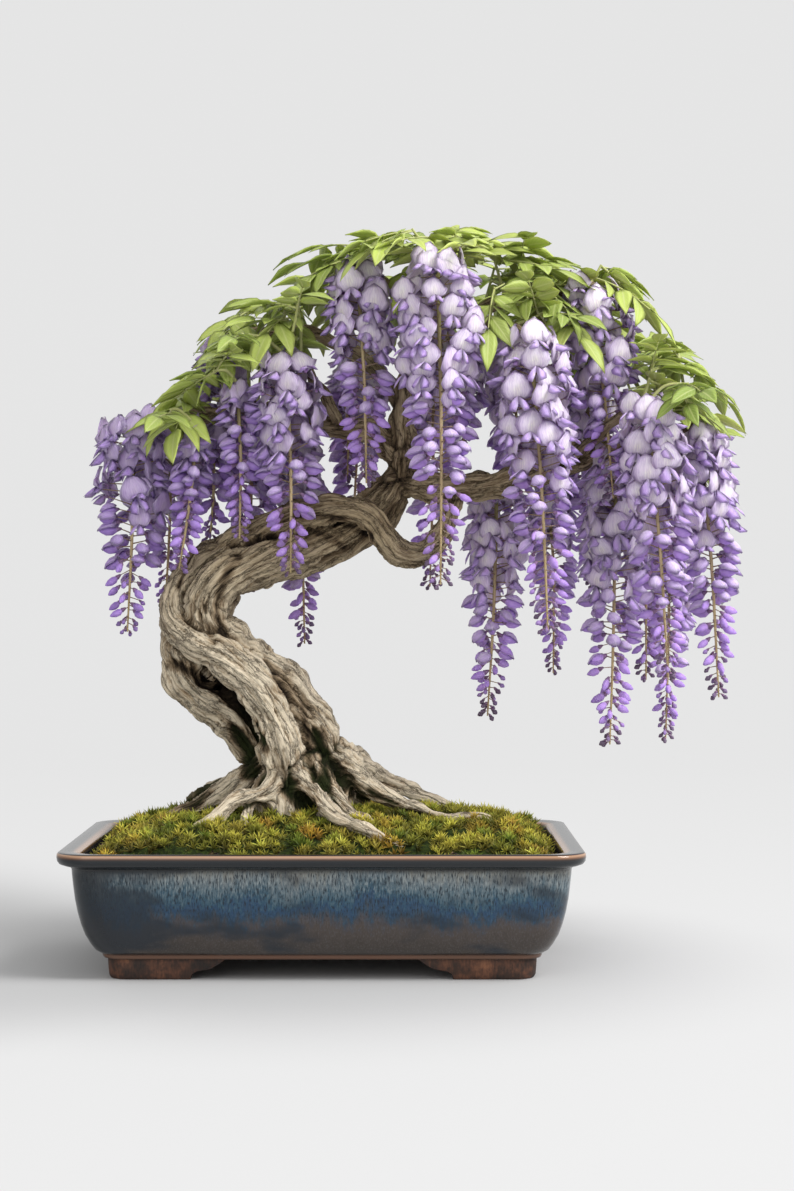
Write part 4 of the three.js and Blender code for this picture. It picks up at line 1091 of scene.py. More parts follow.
clusters = {
    "form": [0.86, 1, 1, 0.92, 0.8, 0.66, 0.52, 0.4, 0.26],  # the share of the width, from top to tip
    "bareFront": 0.26,  # radians to each side of the front where the stalk shows between florets
    "crownCentre": (70, 10, 0),
    "stalkPaint": ("#a5a466", "#cbb98c", "#b3a272"),
    "stalkRadii": [1.6, 1.5, 1.3, 1.05, 0.6],
    "turn": 2.4,  # radians round the stalk from one floret to the next
    "slimWidth": 40,  # a raceme under this width is young, and still mostly buds
    "stages": [  # until which age; form; its reach; sizes, and how they fall with age; rise; mm to the next
        (0.46, "open", 12, (0.82, 1.16), (1, 0), (-0.5, 0.35), 2.0),
        (0.7, "hooded", 16, (0.86, 1.06), (1.25, -0.45), (-0.8, -0.15), 2.1),
        (0.88, "bud", 10.4, (0.9, 1.15), (1.9, -1.1), (-1.0, -0.4), 2.4),
        (2, "tipBud", 6.0, (0.85, 1.15), (1.75, -0.8), (-1.2, -0.6), 1.7),
    ],
    "topRise": (0.08, 0.35),  # the uppermost florets stand up more
    "places": [  # where florets begin, the last bud, and the width
        ((-148, -10, 406), (-152, -12, 253), 65), ((-98, -32, 399), (-110, -36, 301), 28),
        ((-87, 2, 401), (-90, 6, 324), 28), ((-65, -40, 429), (-64, -42, 324), 32),
        ((-28, -47, 449), (-25, -48, 298), 60), ((26, -54, 518), (32, -56, 365), 54),
        ((85, -90, 520), (87, -92, 289), 68), ((154, -88, 462), (166, -90, 255), 66),
        ((203, -31, 506), (218, -46, 354), 62), ((222, -8, 377), (219, -6, 166), 60),
        ((241, -74, 413), (256, -76, 220), 58), ((287, -22, 400), (301, -20, 203), 52),
        ((134, 52, 359), (127, 54, 185), 54), ((181, 110, 376), (183, 112, 217), 44),
        ((276, 100, 360), (274, 102, 163), 48), ((-26, 66, 396), (-19, 68, 242), 44),
        ((14, 38, 450), (16, 38, 372), 30), ((-82, 30, 472), (-79, 32, 370), 44),
        ((84, 108, 484), (82, 112, 288), 60), ((24, 88, 470), (18, 92, 318), 50),
        ((150, 82, 478), (150, 78, 330), 54), ((208, 90, 462), (214, 92, 286), 54),
        ((-62, 74, 418), (-66, 78, 286), 46), ((-126, 62, 404), (-130, 64, 276), 50),
        ((248, 40, 380), (252, 44, 214), 50), ((108, 20, 470), (106, 16, 392), 40),
    ],
}
openUntil = clusters["stages"][0][0]
hoodedUntil = clusters["stages"][1][0]


def limbStops():
    return [stop for points, _ in tree["limbs"] for stop in routeThrough(points, 5)[0]]


def shadedTube(name, stems, shades, roundness=1):  # shades lead from the highest point to the lowest
    mesh = tubes(name, stems, 4.0, roundness)
    colours = [paint(c) for c in shades]
    top = max(v.co.z for v in mesh.vertices)
    low = min(v.co.z for v in mesh.vertices)
    values = []
    for v in mesh.vertices:
        place = (top - v.co.z) / max(1e-6, top - low) * (len(colours) - 1)
        index = min(int(place), len(colours) - 2)
        values.extend(blendPaint(colours[index], colours[index + 1], place - index))
    addAttribute(mesh, "shade", "FLOAT_COLOR", "color", values)
    mesh.attributes.new("place", "FLOAT_VECTOR", "POINT")
    return mesh


def clusterTone(top):  # the left of the crown is deeper violet and painted darker, and the back painted paler: painted shade and light
    violet = min(0.5, max(0.0, -top.x / 260))
    return violet, 1.06 if top.y > 40 else 0.94 if top.x < -20 else 1.0


def addFloret(stamps, forms, at, angle, share, age, width, outward, violet, paintedLight, draw):
    _, name, head, sizes, (base, fall), rises, step = next(s for s in clusters["stages"] if age < s[0])
    size = draw.uniform(*sizes) * (base + fall * age)
    rise = draw.uniform(*rises)
    topShare, lift = clusters["topRise"]
    if name == "open" and share < topShare:
        rise += lift
    spread = alongList(clusters["form"], share) * width / 2
    stalk = max(2.2, spread - head * size * 0.8) * draw.uniform(0.8, 1.08)
    out = Vector((math.cos(angle), math.sin(angle), 0))
    stalkRise = draw.uniform(-0.05, 0.4) if age < hoodedUntil else draw.uniform(-0.55, -0.05)
    stalkWay = (out + Vector((0, 0, stalkRise))).normalized()
    side = Vector((-out.y, out.x, 0)) * draw.uniform(-0.6, 0.6)
    turned = outward if age < hoodedUntil and out.dot(outward) > -0.25 else Vector()
    way = (out + turned + Vector((0, 0, rise)) + side).normalized()
    up = (Vector((0, 0, 1)) + side * draw.uniform(-0.9, 0.9)).normalized()
    # each floret's lightness varies at random, times its cluster's painted light and shade
    shade = floretShade(age, draw.uniform(0.86, 1.06) * paintedLight, violet)
    foot = Matrix.Translation(put(*(at + stalkWay * stalk)))
    stamps.append((forms[name], foot @ aim(way, up) @ Matrix.Scale(size, 4), shade))
    thick = 1.0 if age < hoodedUntil else 0.75
    stretch = Matrix.Diagonal((stalk + 0.5, thick, thick, 1))
    stamps.append((forms["pedicel"], Matrix.Translation(put(*at)) @ aim(stalkWay, up) @ stretch, shade))
    return step


def buildCluster(number, place, forms, material, stops):
    top, tip, width = Vector(place[0]), Vector(place[1]), place[2]
    draw = random.Random(100 + number)
    limb = min(stops, key=lambda s: (s - (top + Vector((0, 0, 8)))).length)
    middle = top.lerp(tip, 0.5) + Vector((1.5, 0, 0))
    line, length = routeThrough([top, middle, tip], 1.0)
    outward = top - Vector(clusters["crownCentre"])
    outward.z = 0
    outward = outward.normalized() * min(0.45, outward.length / 200)
    violet, paintedLight = clusterTone(top)
    stamps = []
    reach = 0.0
    turn = draw.uniform(0, 6.28)
    while reach < length:
        share = reach / length
        turn += clusters["turn"] + draw.uniform(-0.5, 0.5)
        facing = (turn + math.pi / 2) % (2 * math.pi)
        facing = facing - 2 * math.pi if facing > math.pi else facing
        bare = clusters["bareFront"] if share > 0.3 else 0.0
        angle = turn if abs(facing) > bare else turn + math.copysign(bare * 1.4, facing)
        age = clamp(share * 1.04 + draw.uniform(-0.09, 0.09))
        if width < clusters["slimWidth"]:
            age = 0.35 + 0.65 * age
        at = line[min(len(line) - 1, int(reach))]
        reach += addFloret(stamps, forms, at, angle, share, age, width, outward, violet, paintedLight, draw)
    mesh = stampMesh("raceme%02d" % number, stamps)
    node = "flower_cluster_%02d" % number
    newPiece("raceme%02d" % number, mesh, material, "petal", node)
    route = [limb, limb.lerp(top, 0.6), top, middle, tip]
    stalk = shadedTube("rachis%02d" % number, [(route, clusters["stalkRadii"])], clusters["stalkPaint"])
    newPiece("rachis%02d" % number, stalk, material, "petal", node)
    return len(mesh.polygons)


def petalMaterial():
    # Wisteria petals: thin, matt and waxy, with fine veins that run out from the claw. Light
    # passes into them, which softens their shaded side.
    material, shader = newMaterial("wisteriaPetal", 0.6, {
        "Specular IOR Level": 0.25, "Subsurface Weight": 0.5, "Subsurface Radius": (1.0, 0.78, 1.0),
        "Subsurface Scale": 3 * mm,
    })
    colour = addNode(material, "Attribute", {"attribute_name": "shade"})
    place = addNode(material, "Attribute", {"attribute_name": "place"}).outputs["Vector"]
    for scale, low, high, most, vein in (
        ((9, 1.2, 1), 0.46, 0.62, 0.4, "#bda0d8"),  # about 14 veins across a banner 22 mm wide
        ((2.4, 2.4, 1), 0.45, 0.7, 0.3, "#c6b0dc"),  # soft clouds, 3 mm wide and 5 mm long
    ):
        spread = addNode(material, "Mapping", None, {"Scale": scale}, {"Vector": place})
        veins = addNode(material, "TexNoise", None, {"Scale": 1.6, "Detail": 2.0}, {"Vector": spread})
        share = addNode(material, "MapRange", None, {"From Min": low, "From Max": high, "To Max": most},
                        {"Value": veins})
        colour = addNode(material, "Mix", {**rgba, "blend_type": "MULTIPLY"}, {7: paint(vein)},
                         {0: share, 6: colour})
    link(material, colour, shader, "Base Color")
    return material


def buildClusters():
    shapes = {"open": shapeOpenFloret, "hooded": shapeHoodedFloret, "bud": shapeBud, "tipBud": shapeTipBud,
              "pedicel": shapePedicel}
    forms = {name: master(shapeIt) for name, shapeIt in shapes.items()}
    material = petalMaterial()
    stops = limbStops()
    faces = 0
    for number, place in enumerate(clusters["places"], 1):
        faces += buildCluster(number, place, forms, material, stops)
    print("flower clusters built,", faces, "faces")


# Leafy shoots: where each leaves its limb, its tip, and per leaf a heading, a rise and pairs
shoots = {
    "pairsApart": 13.5,
    "leavesApart": 9,
    "stalk": 12,  # millimetres of bare stalk below the first pair
    "extraStalk": 9,
    "extraReach": 64,  # from the twig to the tip of an extra leaf
    "standing": 0.55,  # extra leaves stand out and keep this share of the arch
    "leafletLength": (29, 35),  # of the first pair, and of all after it
    "smallLeaflet": (25, 31),
    "lean": (58, 6),  # degrees from rib to leaflet, and how much less for each pair
    "ribRadii": [0.8, 0.7, 0.6, 0.45],
    "twigRadii": [1.5, 1.3, 0.9],
    "lowered": (0, 14, 28, 42, 56),  # degrees tried, until the tip is inside the crown
    "turned": (0, 25, -25, 50, -50),
    "sparseLeft": 15,  # how far across the crown's thinner left part reaches
    "bareFront": (8, 9),  # shoots with no leaf turned to the front, where a cluster hangs in the open
    "frontWithin": 60,  # degrees to each side
    "places": [
        ((-104, -4, 420), (-108, -12, 434), [(128, 8, 2), (214, -8, 3)]),
        ((-78, -1, 420), (-80, -12, 450), [(162, 16, 3)]),
        ((-66, 36, 489), (-62, 24, 506), [(170, 6, 3), (222, -16, 2)]),
        ((40, -43, 522), (22, -46, 546), [(150, 10, 2), (190, -12, 3)]),
        ((80, -14, 496), (72, -20, 552), [(110, 30, 2), (182, 12, 3), (250, -12, 2)]),
        ((88, -24, 512), (96, -26, 554), [(70, 28, 2), (12, 20, 3)]),
        ((150, -21, 509), (160, -30, 528), [(56, 8, 3), (302, -14, 3)]),
        ((124, -46, 488), (128, -56, 512), [(262, -26, 3)]),
        ((200, -30, 516), (210, -32, 532), [(10, 6, 3), (332, -18, 3)]),
        ((236, -66, 422), (246, -58, 452), [(24, 16, 3), (344, -10, 3)]),
        ((248, -18, 404), (260, -12, 432), [(38, 16, 2), (336, 5, 2)]),
        ((84, 100, 497), (86, 98, 520), [(92, 4, 2), (146, -14, 2)]),
        ((160, 78, 490), (164, 80, 514), [(78, 4, 2), (328, -6, 2)]),
        ((204, 88, 478), (216, 84, 498), [(36, 0, 2), (350, -16, 2)]),
        ((-30, 43, 489), (-24, 56, 512), [(108, 6, 2), (160, -12, 2)]),
        ((-96, 74, 429), (-98, 78, 452), [(120, 6, 2), (176, -12, 2)]),
        ((262, 100, 383), (270, 98, 406), [(64, 4, 2), (10, -14, 2)]),
        ((-18, -34, 458), (-20, -30, 502), [(228, -24, 2), (108, -24, 2)]),
        ((-58, -20, 436), (-62, -12, 476), [(228, -24, 2), (344, 20, 2)]),
        ((14, 37, 475), (20, 34, 520), [(120, -14, 2), (228, 20, 2)]),
        ((70, 40, 472), (62, 46, 522), [(120, 8, 2), (24, 8, 2)]),
        ((116, 56, 488), (132, 40, 540), [(12, 8, 2), (312, -24, 2)]),
        ((170, -25, 513), (186, 8, 512), [(0, -24, 2), (204, -24, 2)]),
        ((186, 84, 484), (216, 56, 476), [(252, -24, 2), (336, -24, 2)]),
        ((140, -70, 481), (170, -50, 496), [(312, -24, 2), (60, -24, 2)]),
        ((86, -64, 525), (66, -80, 552), [(204, -14, 2)]),
    ],
    "extraTurns": (-80, 0, 76),  # more leaves of each shoot, turned from the way it faces
}
sprays = {  # the rest of the crown's foliage, on fine twigs of its own
    "count": 24,
    "tries": 4000,
    "spacing": 33,  # millimetres between two sprays
    "below": (14, 30),  # how far under the crown's top
    "longest": 78,
    "stalk": 10,
    "leafReach": 66,
    "turns": (-70, 0, 66),
    "turnsLeft": (-40, 40),  # in the thinner left part
    "twigRadii": [1.6, 1.3, 0.9],
    "edge": (3, 20),  # how far tips may stand past the crown's line, and how much that varies
    "crownLine": [  # across, and the height of the crown there, seen from the front
        (-147, 404), (-94, 476), (-59, 521), (-20, 544), (42, 574), (80, 572), (135, 556), (208, 536),
        (251, 505), (301, 451), (326, 398),
    ],
    "reach": (-130, 276),  # how far across the sprays start
    "front": -80,
    "back": 104,
    "doming": 0.0034,
}
leafPaint = {
    "young": paint("#b9c766"),
    "full": paint("#849948"),
    "deep": paint("#53662b"),
}


def leafletBlade(u, w):  # 1 long and about 0.38 wide, folded at its rib, with a drawn-out tip
    share = clamp(w) ** 0.82
    width = 0.21 * max(0.0, math.sin(math.pi * share)) ** 0.85 * (1.12 - 0.35 * w)
    fold = 0.055 * abs(u) * math.sin(math.pi * w)
    ripple = 0.012 * math.sin(w * 19 + 2 * u) * abs(u)
    return Vector((w, max(0.004, width) * u, fold + ripple - 0.16 * w * w))


def shapeLeaflet(bm):
    petalSheet(bm, 4, 5, leafletBlade, 0.02, 0)


def leafArch(x, y, bend):  # bend is 1 for a leaf that hangs and less for one that stands out
    return (-0.0042 * x * x - 0.012 * y * y) * bend


def leafShade(kind, lightness):  # kind: 0 a full-grown leaf, 1 a young one
    def shade(place):
        u, w, _ = place
        tone = blendPaint(leafPaint["full"], leafPaint["young"], kind)
        return litPaint(blendPaint(tone, leafPaint["deep"], 0.35 * (1 - abs(u)) * (1 - w)), lightness)
    return shade


def addLeaf(stamps, ribs, form, placing, pairs, stalk, lengths, draw, kind, bend=1.0):
    # One leaf: its rib arches away along +X, with leaflets in pairs and one at the end
    apart = shoots["pairsApart"]
    lean, lessLean = shoots["lean"]
    end = stalk + pairs * apart
    line = [placing @ Vector((x, 0, leafArch(x, 0, bend))) for x in (0, end * 0.33, end * 0.66, end)]
    ribs.append((line, shoots["ribRadii"]))
    spots = [(end, 0, lengths[1] + 1)]
    for pair in range(pairs):
        for side in (1, -1):
            spots.append((stalk + pair * apart, side * (lean - pair * lessLean), lengths[min(pair, 1)]))
    for base, lean, length in spots:
        turn = math.radians(lean + draw.uniform(-9, 9))
        size = length * draw.uniform(0.9, 1.06)
        foot = Vector((base, 0, leafArch(base, 0, bend)))
        far = Vector((base + size * math.cos(turn), size * math.sin(turn), 0))
        far.z = leafArch(far.x, far.y, bend) + draw.uniform(-4, 4)
        roll = Matrix.Rotation(draw.uniform(-0.6, 0.6), 4, "X")
        local = placing @ Matrix.Translation(foot) @ aim(far - foot, Vector((0, 0, 1))) @ roll
        matrix = Matrix.Translation(put(*local.translation)) @ local.to_3x3().to_4x4()
        wide = Matrix.Diagonal((size * mm, size * mm * draw.uniform(0.95, 1.15), size * mm, 1))
        stamps.append((form, matrix @ wide, leafShade(kind, draw.uniform(0.85, 1.12))))


def crownHeight(x, y):
    line = sprays["crownLine"]
    for (x0, z0), (x1, z1) in zip(line, line[1:]):
        if x0 <= x <= x1:
            return z0 + (z1 - z0) * (x - x0) / (x1 - x0) - sprays["doming"] * y * y
    return 0.0


def leafPlacing(start, azimuth, rise, reach, bend):  # turned and lowered until its tip is in the crown
    eye = Vector(studio["cameraPlace"])
    least, varied = sprays["edge"]
    for lower in shoots["lowered"]:
        for turn in shoots["turned"]:
            heading = Matrix.Rotation(math.radians(azimuth + turn), 4, "Z")
            pitch = Matrix.Rotation(-math.radians(rise - lower), 4, "Y")
            placing = Matrix.Translation(start) @ heading @ pitch
            tip = placing @ Vector((reach, 0, leafArch(reach, 0, bend)))
            seen = eye + (tip - eye) * (-eye.y / (tip.y - eye.y))
            loose = least + varied * noise.noise(Vector((seen.x / 15, tip.y / 40, 4)))
            if seen.z < crownHeight(seen.x, tip.y * 0.5) + loose:
                return placing
    return None


def buildShoot(number, place, form, material):
    root, tip, leaves = Vector(place[0]), Vector(place[1]), place[2]
    back = (root - tip).normalized()
    draw = random.Random(500 + number)
    node = "leaf_shoot_%02d" % number
    stamps = []
    ribs = [([root, root.lerp(tip, 0.5) + Vector((1, 1, 0)), tip], shoots["twigRadii"])]
    stalk = shoots["stalk"]
    for i, (azimuth, rise, pairs) in enumerate(leaves):
        kind = draw.uniform(0.1, 0.9)
        reach = stalk + pairs * shoots["pairsApart"] + shoots["leafletLength"][1]
        placing = leafPlacing(tip + back * (2 + i * shoots["leavesApart"]), azimuth, rise, reach, 1.0)
        if placing:
            addLeaf(stamps, ribs, form, placing, pairs, stalk, shoots["leafletLength"], draw, kind)
    centre = Vector(clusters["crownCentre"])
    facing = math.degrees(math.atan2(tip.y - centre.y, tip.x - centre.x))
    stalk, bend = shoots["extraStalk"], shoots["standing"]
    turns = shoots["extraTurns"] if tip.x > shoots["sparseLeft"] else shoots["extraTurns"][1:2]
    for turn in turns:
        azimuth = facing + turn + draw.uniform(-18, 18)
        fromFront = abs((azimuth + 90 + 180) % 360 - 180)
        if number in shoots["bareFront"] and fromFront < shoots["frontWithin"]:
            continue
        start = tip + back * draw.uniform(0, 14)
        placing = leafPlacing(start, azimuth, draw.uniform(-14, 34), shoots["extraReach"], bend)
        if placing:
            pairs = draw.choice((2, 2, 3))
            kind = draw.uniform(0.2, 1.0)
            addLeaf(stamps, ribs, form, placing, pairs, stalk, shoots["smallLeaflet"], draw, kind, bend)
    mesh = stampMesh("foliage%02d" % number, stamps)
    newPiece("foliage%02d" % number, mesh, material, "leaf", node)
    twig = shadedTube("twig%02d" % number, ribs, ("#8f9448", "#8b8a4c"))
    newPiece("twig%02d" % number, twig, material, "leaf", node)
    return len(mesh.polygons)


def chooseSprays(draw, stops):  # spots a little under the crown's top, each with the limb it grows from
    taken = [Vector(place[1]) for place in shoots["places"]]
    chosen = []
    for _ in range(sprays["tries"]):
        if len(chosen) == sprays["count"]:
            break
        x = draw.uniform(*sprays["reach"])
        y = draw.uniform(sprays["front"], sprays["back"])
        spot = Vector((x, y, crownHeight(x, y) - draw.uniform(*sprays["below"])))
        limb = min(stops, key=lambda stop: (stop - spot).length)
        if (limb - spot).length > sprays["longest"] or spot.z < limb.z - 8:
            continue
        if any((spot - other).length < sprays["spacing"] for other in taken):
            continue
        taken.append(spot)
        chosen.append((spot, limb))
    return chosen


def buildSprays(form, material, stops):
    draw = random.Random(31)
    chosen = chooseSprays(draw, stops)
    stamps = []
    ribs = []
    twigs = []
    centre = Vector(clusters["crownCentre"])
    bend = shoots["standing"]
    for spot, limb in chosen:
        middle = limb.lerp(spot, 0.55) + Vector((draw.uniform(-4, 4), draw.uniform(-4, 4), 5))
        twigs.append(([limb, middle, spot], sprays["twigRadii"]))
        heading = math.degrees(math.atan2(spot.y - centre.y, (spot.x - centre.x) * 0.8))
        kind = draw.uniform(0.2, 1.0) if spot.z > 470 else draw.uniform(0.0, 0.7)
        for turn in sprays["turns"] if spot.x > shoots["sparseLeft"] else sprays["turnsLeft"]:
            azimuth = heading + turn + draw.uniform(-22, 22)
            rise = draw.uniform(-18, 32)
            pairs = 2 if draw.random() < 0.5 else 3
            start = spot + (limb - spot).normalized() * draw.uniform(1, 8)
            placing = leafPlacing(start, azimuth, rise, sprays["leafReach"], bend)
            if placing:
                lengths = shoots["smallLeaflet"]
                addLeaf(stamps, ribs, form, placing, pairs, sprays["stalk"], lengths, draw, kind, bend)
    mesh = stampMesh("crownFoliage", stamps)
    newPiece("crownFoliage", mesh, material, "leaf")
    twigMesh = shadedTube("crownTwigs", twigs + ribs, ("#8f9448", "#77703f"))
    newPiece("crownTwigs", twigMesh, material, "leaf")
    print("crown foliage built,", len(chosen), "sprays,", len(mesh.polygons), "faces")


def leafMaterial():
    # Wisteria leaflet: thin and soft, satin above, with a pale rib and slanting side veins about
    # 4 mm apart. Some light comes through it.
    material, shader = newMaterial("wisteriaLeaf", 0.46, {
        "Specular IOR Level": 0.4, "Subsurface Weight": 0.15, "Subsurface Radius": (1.0, 1.0, 0.3),
        "Subsurface Scale": 1.5 * mm,
    })
    shade = addNode(material, "Attribute", {"attribute_name": "shade"})
    place = addNode(material, "Attribute", {"attribute_name": "place"}).outputs["Vector"]
    split = addNode(material, "SeparateXYZ", links={"Vector": place})
    off = addNode(material, "Math", {"operation": "ABSOLUTE"}, None, {0: split.outputs["X"]})
    rib = addNode(material, "MapRange", None, {"From Max": 0.16, "To Min": 0.6, "To Max": 0.0},
                  {"Value": off})
    slant = addNode(material, "Math", {"operation": "MULTIPLY_ADD"}, {1: -0.35},
                    {0: off, 2: split.outputs["Y"]})
    phase = addNode(material, "Math", {"operation": "MULTIPLY"}, {1: 50.0}, {0: slant})
    wave = addNode(material, "Math", {"operation": "SINE"}, None, {0: phase})
    veins = addNode(material, "MapRange", None, {"From Min": 0.6, "To Max": 0.22}, {"Value": wave})
    lines = addNode(material, "Math", {"operation": "MAXIMUM"}, None, {0: rib, 1: veins})
    lined = addNode(material, "Mix", rgba, {7: paint("#c6cb8c")}, {0: lines, 6: shade})
    link(material, lined, shader, "Base Color")
    bump = addNode(material, "Bump", None, {"Strength": 0.3, "Distance": 0.3 * mm}, {"Height": lines})
    link(material, bump, shader, "Normal")
    return material


def buildShoots():
    leaflet = master(shapeLeaflet)
    leaflet["points"] = [point / mm for point in leaflet["points"]]  # its matrix brings the size
    material = leafMaterial()
    faces = 0
    for number, place in enumerate(shoots["places"], 1):
        faces += buildShoot(number, place, leaflet, material)
    print("leafy shoots built,", faces, "faces")
    buildSprays(leaflet, material, limbStops())


# Soil and moss
ground = {
    "soilEdge": 81,
    "soilCrown": 24,
    "bareRise": 4.5,  # how far bare soil lies over the mound that everything stands on
    "mossDepth": 9,
    "halfX": 173,
    "halfY": 119,
    "corner": 20,
    "soilSteps": ((76, 3), (62, 3), (40, 6), (24.4, 11)),  # heights down the sides, and how far in
    "mossSteps": ((77, 4),),
    "tuftsApart": 13.2,
    "sprigsInTuft": 13,
    "tuftReach": 9.5,
    "grains": 2600,
    "soilPaint": ((0.3, "#120d09"), (0.5, "#2e2118"), (0.62, "#4a3524"), (0.8, "#7b6248")),
    "feltPaint": ((0.3, "#10150a"), (0.5, "#25300f"), (0.65, "#3f4a18"), (0.8, "#6b6a2a")),
    "grainPaint": ("#2b1e15", "#3b2a1d", "#5b4430", "#8a7355", "#1a130e"),
}


def moundHeight(x, y):
    u = min(1.0, abs(x) / (tray["length"] / 2 - 16))
    v = min(1.0, abs(y) / (tray["depth"] / 2 - 16))
    return ground["soilEdge"] + ground["soilCrown"] * (1 - u ** 5) * (1 - v ** 2.4)


def patchy(x, y, size, seed):  # soft patches of about this size in millimetres, from -1 to 1
    return noise.noise(Vector((x / size, y / size, seed)))


def mossCover(x, y):  # how well moss covers a spot: under 0 is bare soil
    gap = min(ground["halfX"] - abs(x), ground["halfY"] - abs(y))
    ragged = patchy(x, y, 22, 3) * 9 + patchy(x, y, 7, 8) * 4
    return gap - 9.5 + ragged


def mossHeight(x, y):
    wave = math.sin(x / 13 + 1) * math.cos(y / 11) + math.sin(x / 29 - y / 17)
    tuft = abs(patchy(x, y, 13, 1)) * -7 + patchy(x, y, 6, 6) * 1.4
    full = moundHeight(x, y) + ground["mossDepth"] + 1.7 * wave + tuft - 0.5
    bare = moundHeight(x, y) + ground["bareRise"] + patchy(x, y, 9, 5) * 1.2
    return bare + (full - bare) * clamp(mossCover(x, y) / 6)


def pastCorner(x, y, halfX, halfY):  # how far a spot lies beyond the straight parts of the rim
    return max(0.0, abs(x) - (halfX - ground["corner"])), max(0.0, abs(y) - (halfY - ground["corner"]))


def insideTray(x, y, margin):
    halfX = ground["halfX"] - margin
    halfY = ground["halfY"] - margin
    over = math.hypot(*pastCorner(x, y, halfX, halfY))
    return abs(x) <= halfX and abs(y) <= halfY and over <= ground["corner"]


def shapeSprig(bm):  # a moss sprig: narrow leaves that spread like a star from a short stem
    layer = bm.verts.layers.float_vector["place"]
    stem = Vector((0, 0, 1.2))
    for i in range(8):
        lean = (0.15, 0.55, 0.85, 1.1)[i // 2] + 0.1 * (i % 2)
        turn = Matrix.Rotation(i * 2.4, 4, "Z") @ Matrix.Rotation(lean, 4, "Y")
        length = 7.6 - 1.1 * math.cos(i * 1.7)
        made = bmesh.ops.create_cone(
            bm, cap_ends=True, segments=3, radius1=1.05, radius2=0.0, depth=length,
            matrix=Matrix.Translation(stem) @ turn @ Matrix.Translation((0, 0, length / 2)),
        )["verts"]
        for v in made:
            v[layer] = (0, clamp((v.co - stem).length / 7), 0)


def shapeGrain(bm):
    made = bmesh.ops.create_icosphere(bm, subdivisions=1, radius=1)["verts"]
    for v in made:
        v.co *= 0.75 + 0.5 * noise.noise(v.co * 3 + Vector((5, 1, 2)))


mossPaint = {
    "dark": paint("#0a0d05"),
    "green": paint("#768c2d"),
    "bright": paint("#e1d655"),
    "gold": paint("#e7b447"),
    "brown": paint("#825f34"),
}


def sprigShade(green, gold, brown, lightness):
    def shade(place):
        tone = blendPaint(mossPaint["green"], mossPaint["bright"], green)
        tone = blendPaint(tone, mossPaint["gold"], gold)
        tone = blendPaint(tone, mossPaint["brown"], brown)
        # each sprig painted near black at its foot and lighter towards its tips: painted shade and light
        return litPaint(blendPaint(mossPaint["dark"], tone, 0.05 + place[1] ** 1.3), lightness)
    return shade


def groundSheet(name, height, steps, step):  # a closed block with a shaped top; steps lead down its sides
    bm = bmesh.new()
    halfX, halfY, corner = ground["halfX"], ground["halfY"], ground["corner"]
    columns, rows = round(2 * halfX / step), round(2 * halfY / step)
    bmesh.ops.create_grid(bm, x_segments=columns, y_segments=rows, size=1)
    for v in bm.verts:
        x, y = v.co.x * halfX, v.co.y * halfY
        cx, cy = pastCorner(x, y, halfX, halfY)
        over = math.hypot(cx, cy)
        if over > corner:
            x -= math.copysign(cx * (1 - corner / over), x)
            y -= math.copysign(cy * (1 - corner / over), y)
        v.co = put(x, y, height(x, y))
    rim = [e for e in bm.edges if e.is_boundary]
    for low, inset in steps:
        grown = bmesh.ops.extrude_edge_only(bm, edges=rim)["geom"]
        fresh = {g for g in grown if isinstance(g, bmesh.types.BMVert)}
        for v in fresh:
            v.co.x = trayMiddle.x + (v.co.x - trayMiddle.x) * (1 - inset / halfX)
            v.co.y = trayMiddle.y + (v.co.y - trayMiddle.y) * (1 - inset / halfY)
            v.co.z = low * mm
        rim = [g for g in grown if isinstance(g, bmesh.types.BMEdge) and fresh.issuperset(g.verts)]
    bmesh.ops.contextual_create(bm, geom=rim)
    return closedMesh(bm, name)


def groundMaterial(name, stops, scale):
    # Damp potting grit, or the felt of old moss: matt and dark, with pale crumbs. A crumb is as
    # large as one step of the pattern: 2.4 mm for the grit at 420, 3.3 mm for the felt at 300.
    material, shader = newMaterial(name, 0.95, {"Specular IOR Level": 0.2})
    where = addNode(material, "TexCoord").outputs["Object"]
    crumbs = addNode(material, "TexNoise", None, {"Scale": scale, "Detail": 5.0, "Roughness": 0.7},
                     {"Vector": where})
    colour = addNode(material, "ValToRGB", links={"Fac": crumbs}, stops=stops)
    link(material, colour, shader, "Base Color")
    bump = addNode(material, "Bump", None, {"Strength": 0.9, "Distance": 1.2 * mm}, {"Height": crumbs})
    link(material, bump, shader, "Normal")
    return material


def sprigMaterial():
    # Living moss leaves: soft, slightly glossy, painted dark at the foot and light at the tips as
    # painted shade and light, in patches about 11 mm wide
    material, shader = newMaterial("mossSprig", 0.6, {"Specular IOR Level": 0.3})
    shade = addNode(material, "Attribute", {"attribute_name": "shade"})
    where = addNode(material, "TexCoord").outputs["Object"]
    patch = addNode(material, "TexNoise", None, {"Scale": 90.0, "Detail": 2.0}, {"Vector": where})
    share = addNode(material, "MapRange", None, {"From Min": 0.35, "From Max": 0.65, "To Max": 0.3},
                    {"Value": patch})
    mixed = addNode(material, "Mix", {**rgba, "blend_type": "MULTIPLY"}, {7: paint("#8c9468")},
                    {0: share, 6: shade})
    link(material, mixed, shader, "Base Color")
    return material


def bareSoil(x, y):
    return moundHeight(x, y) + ground["bareRise"]


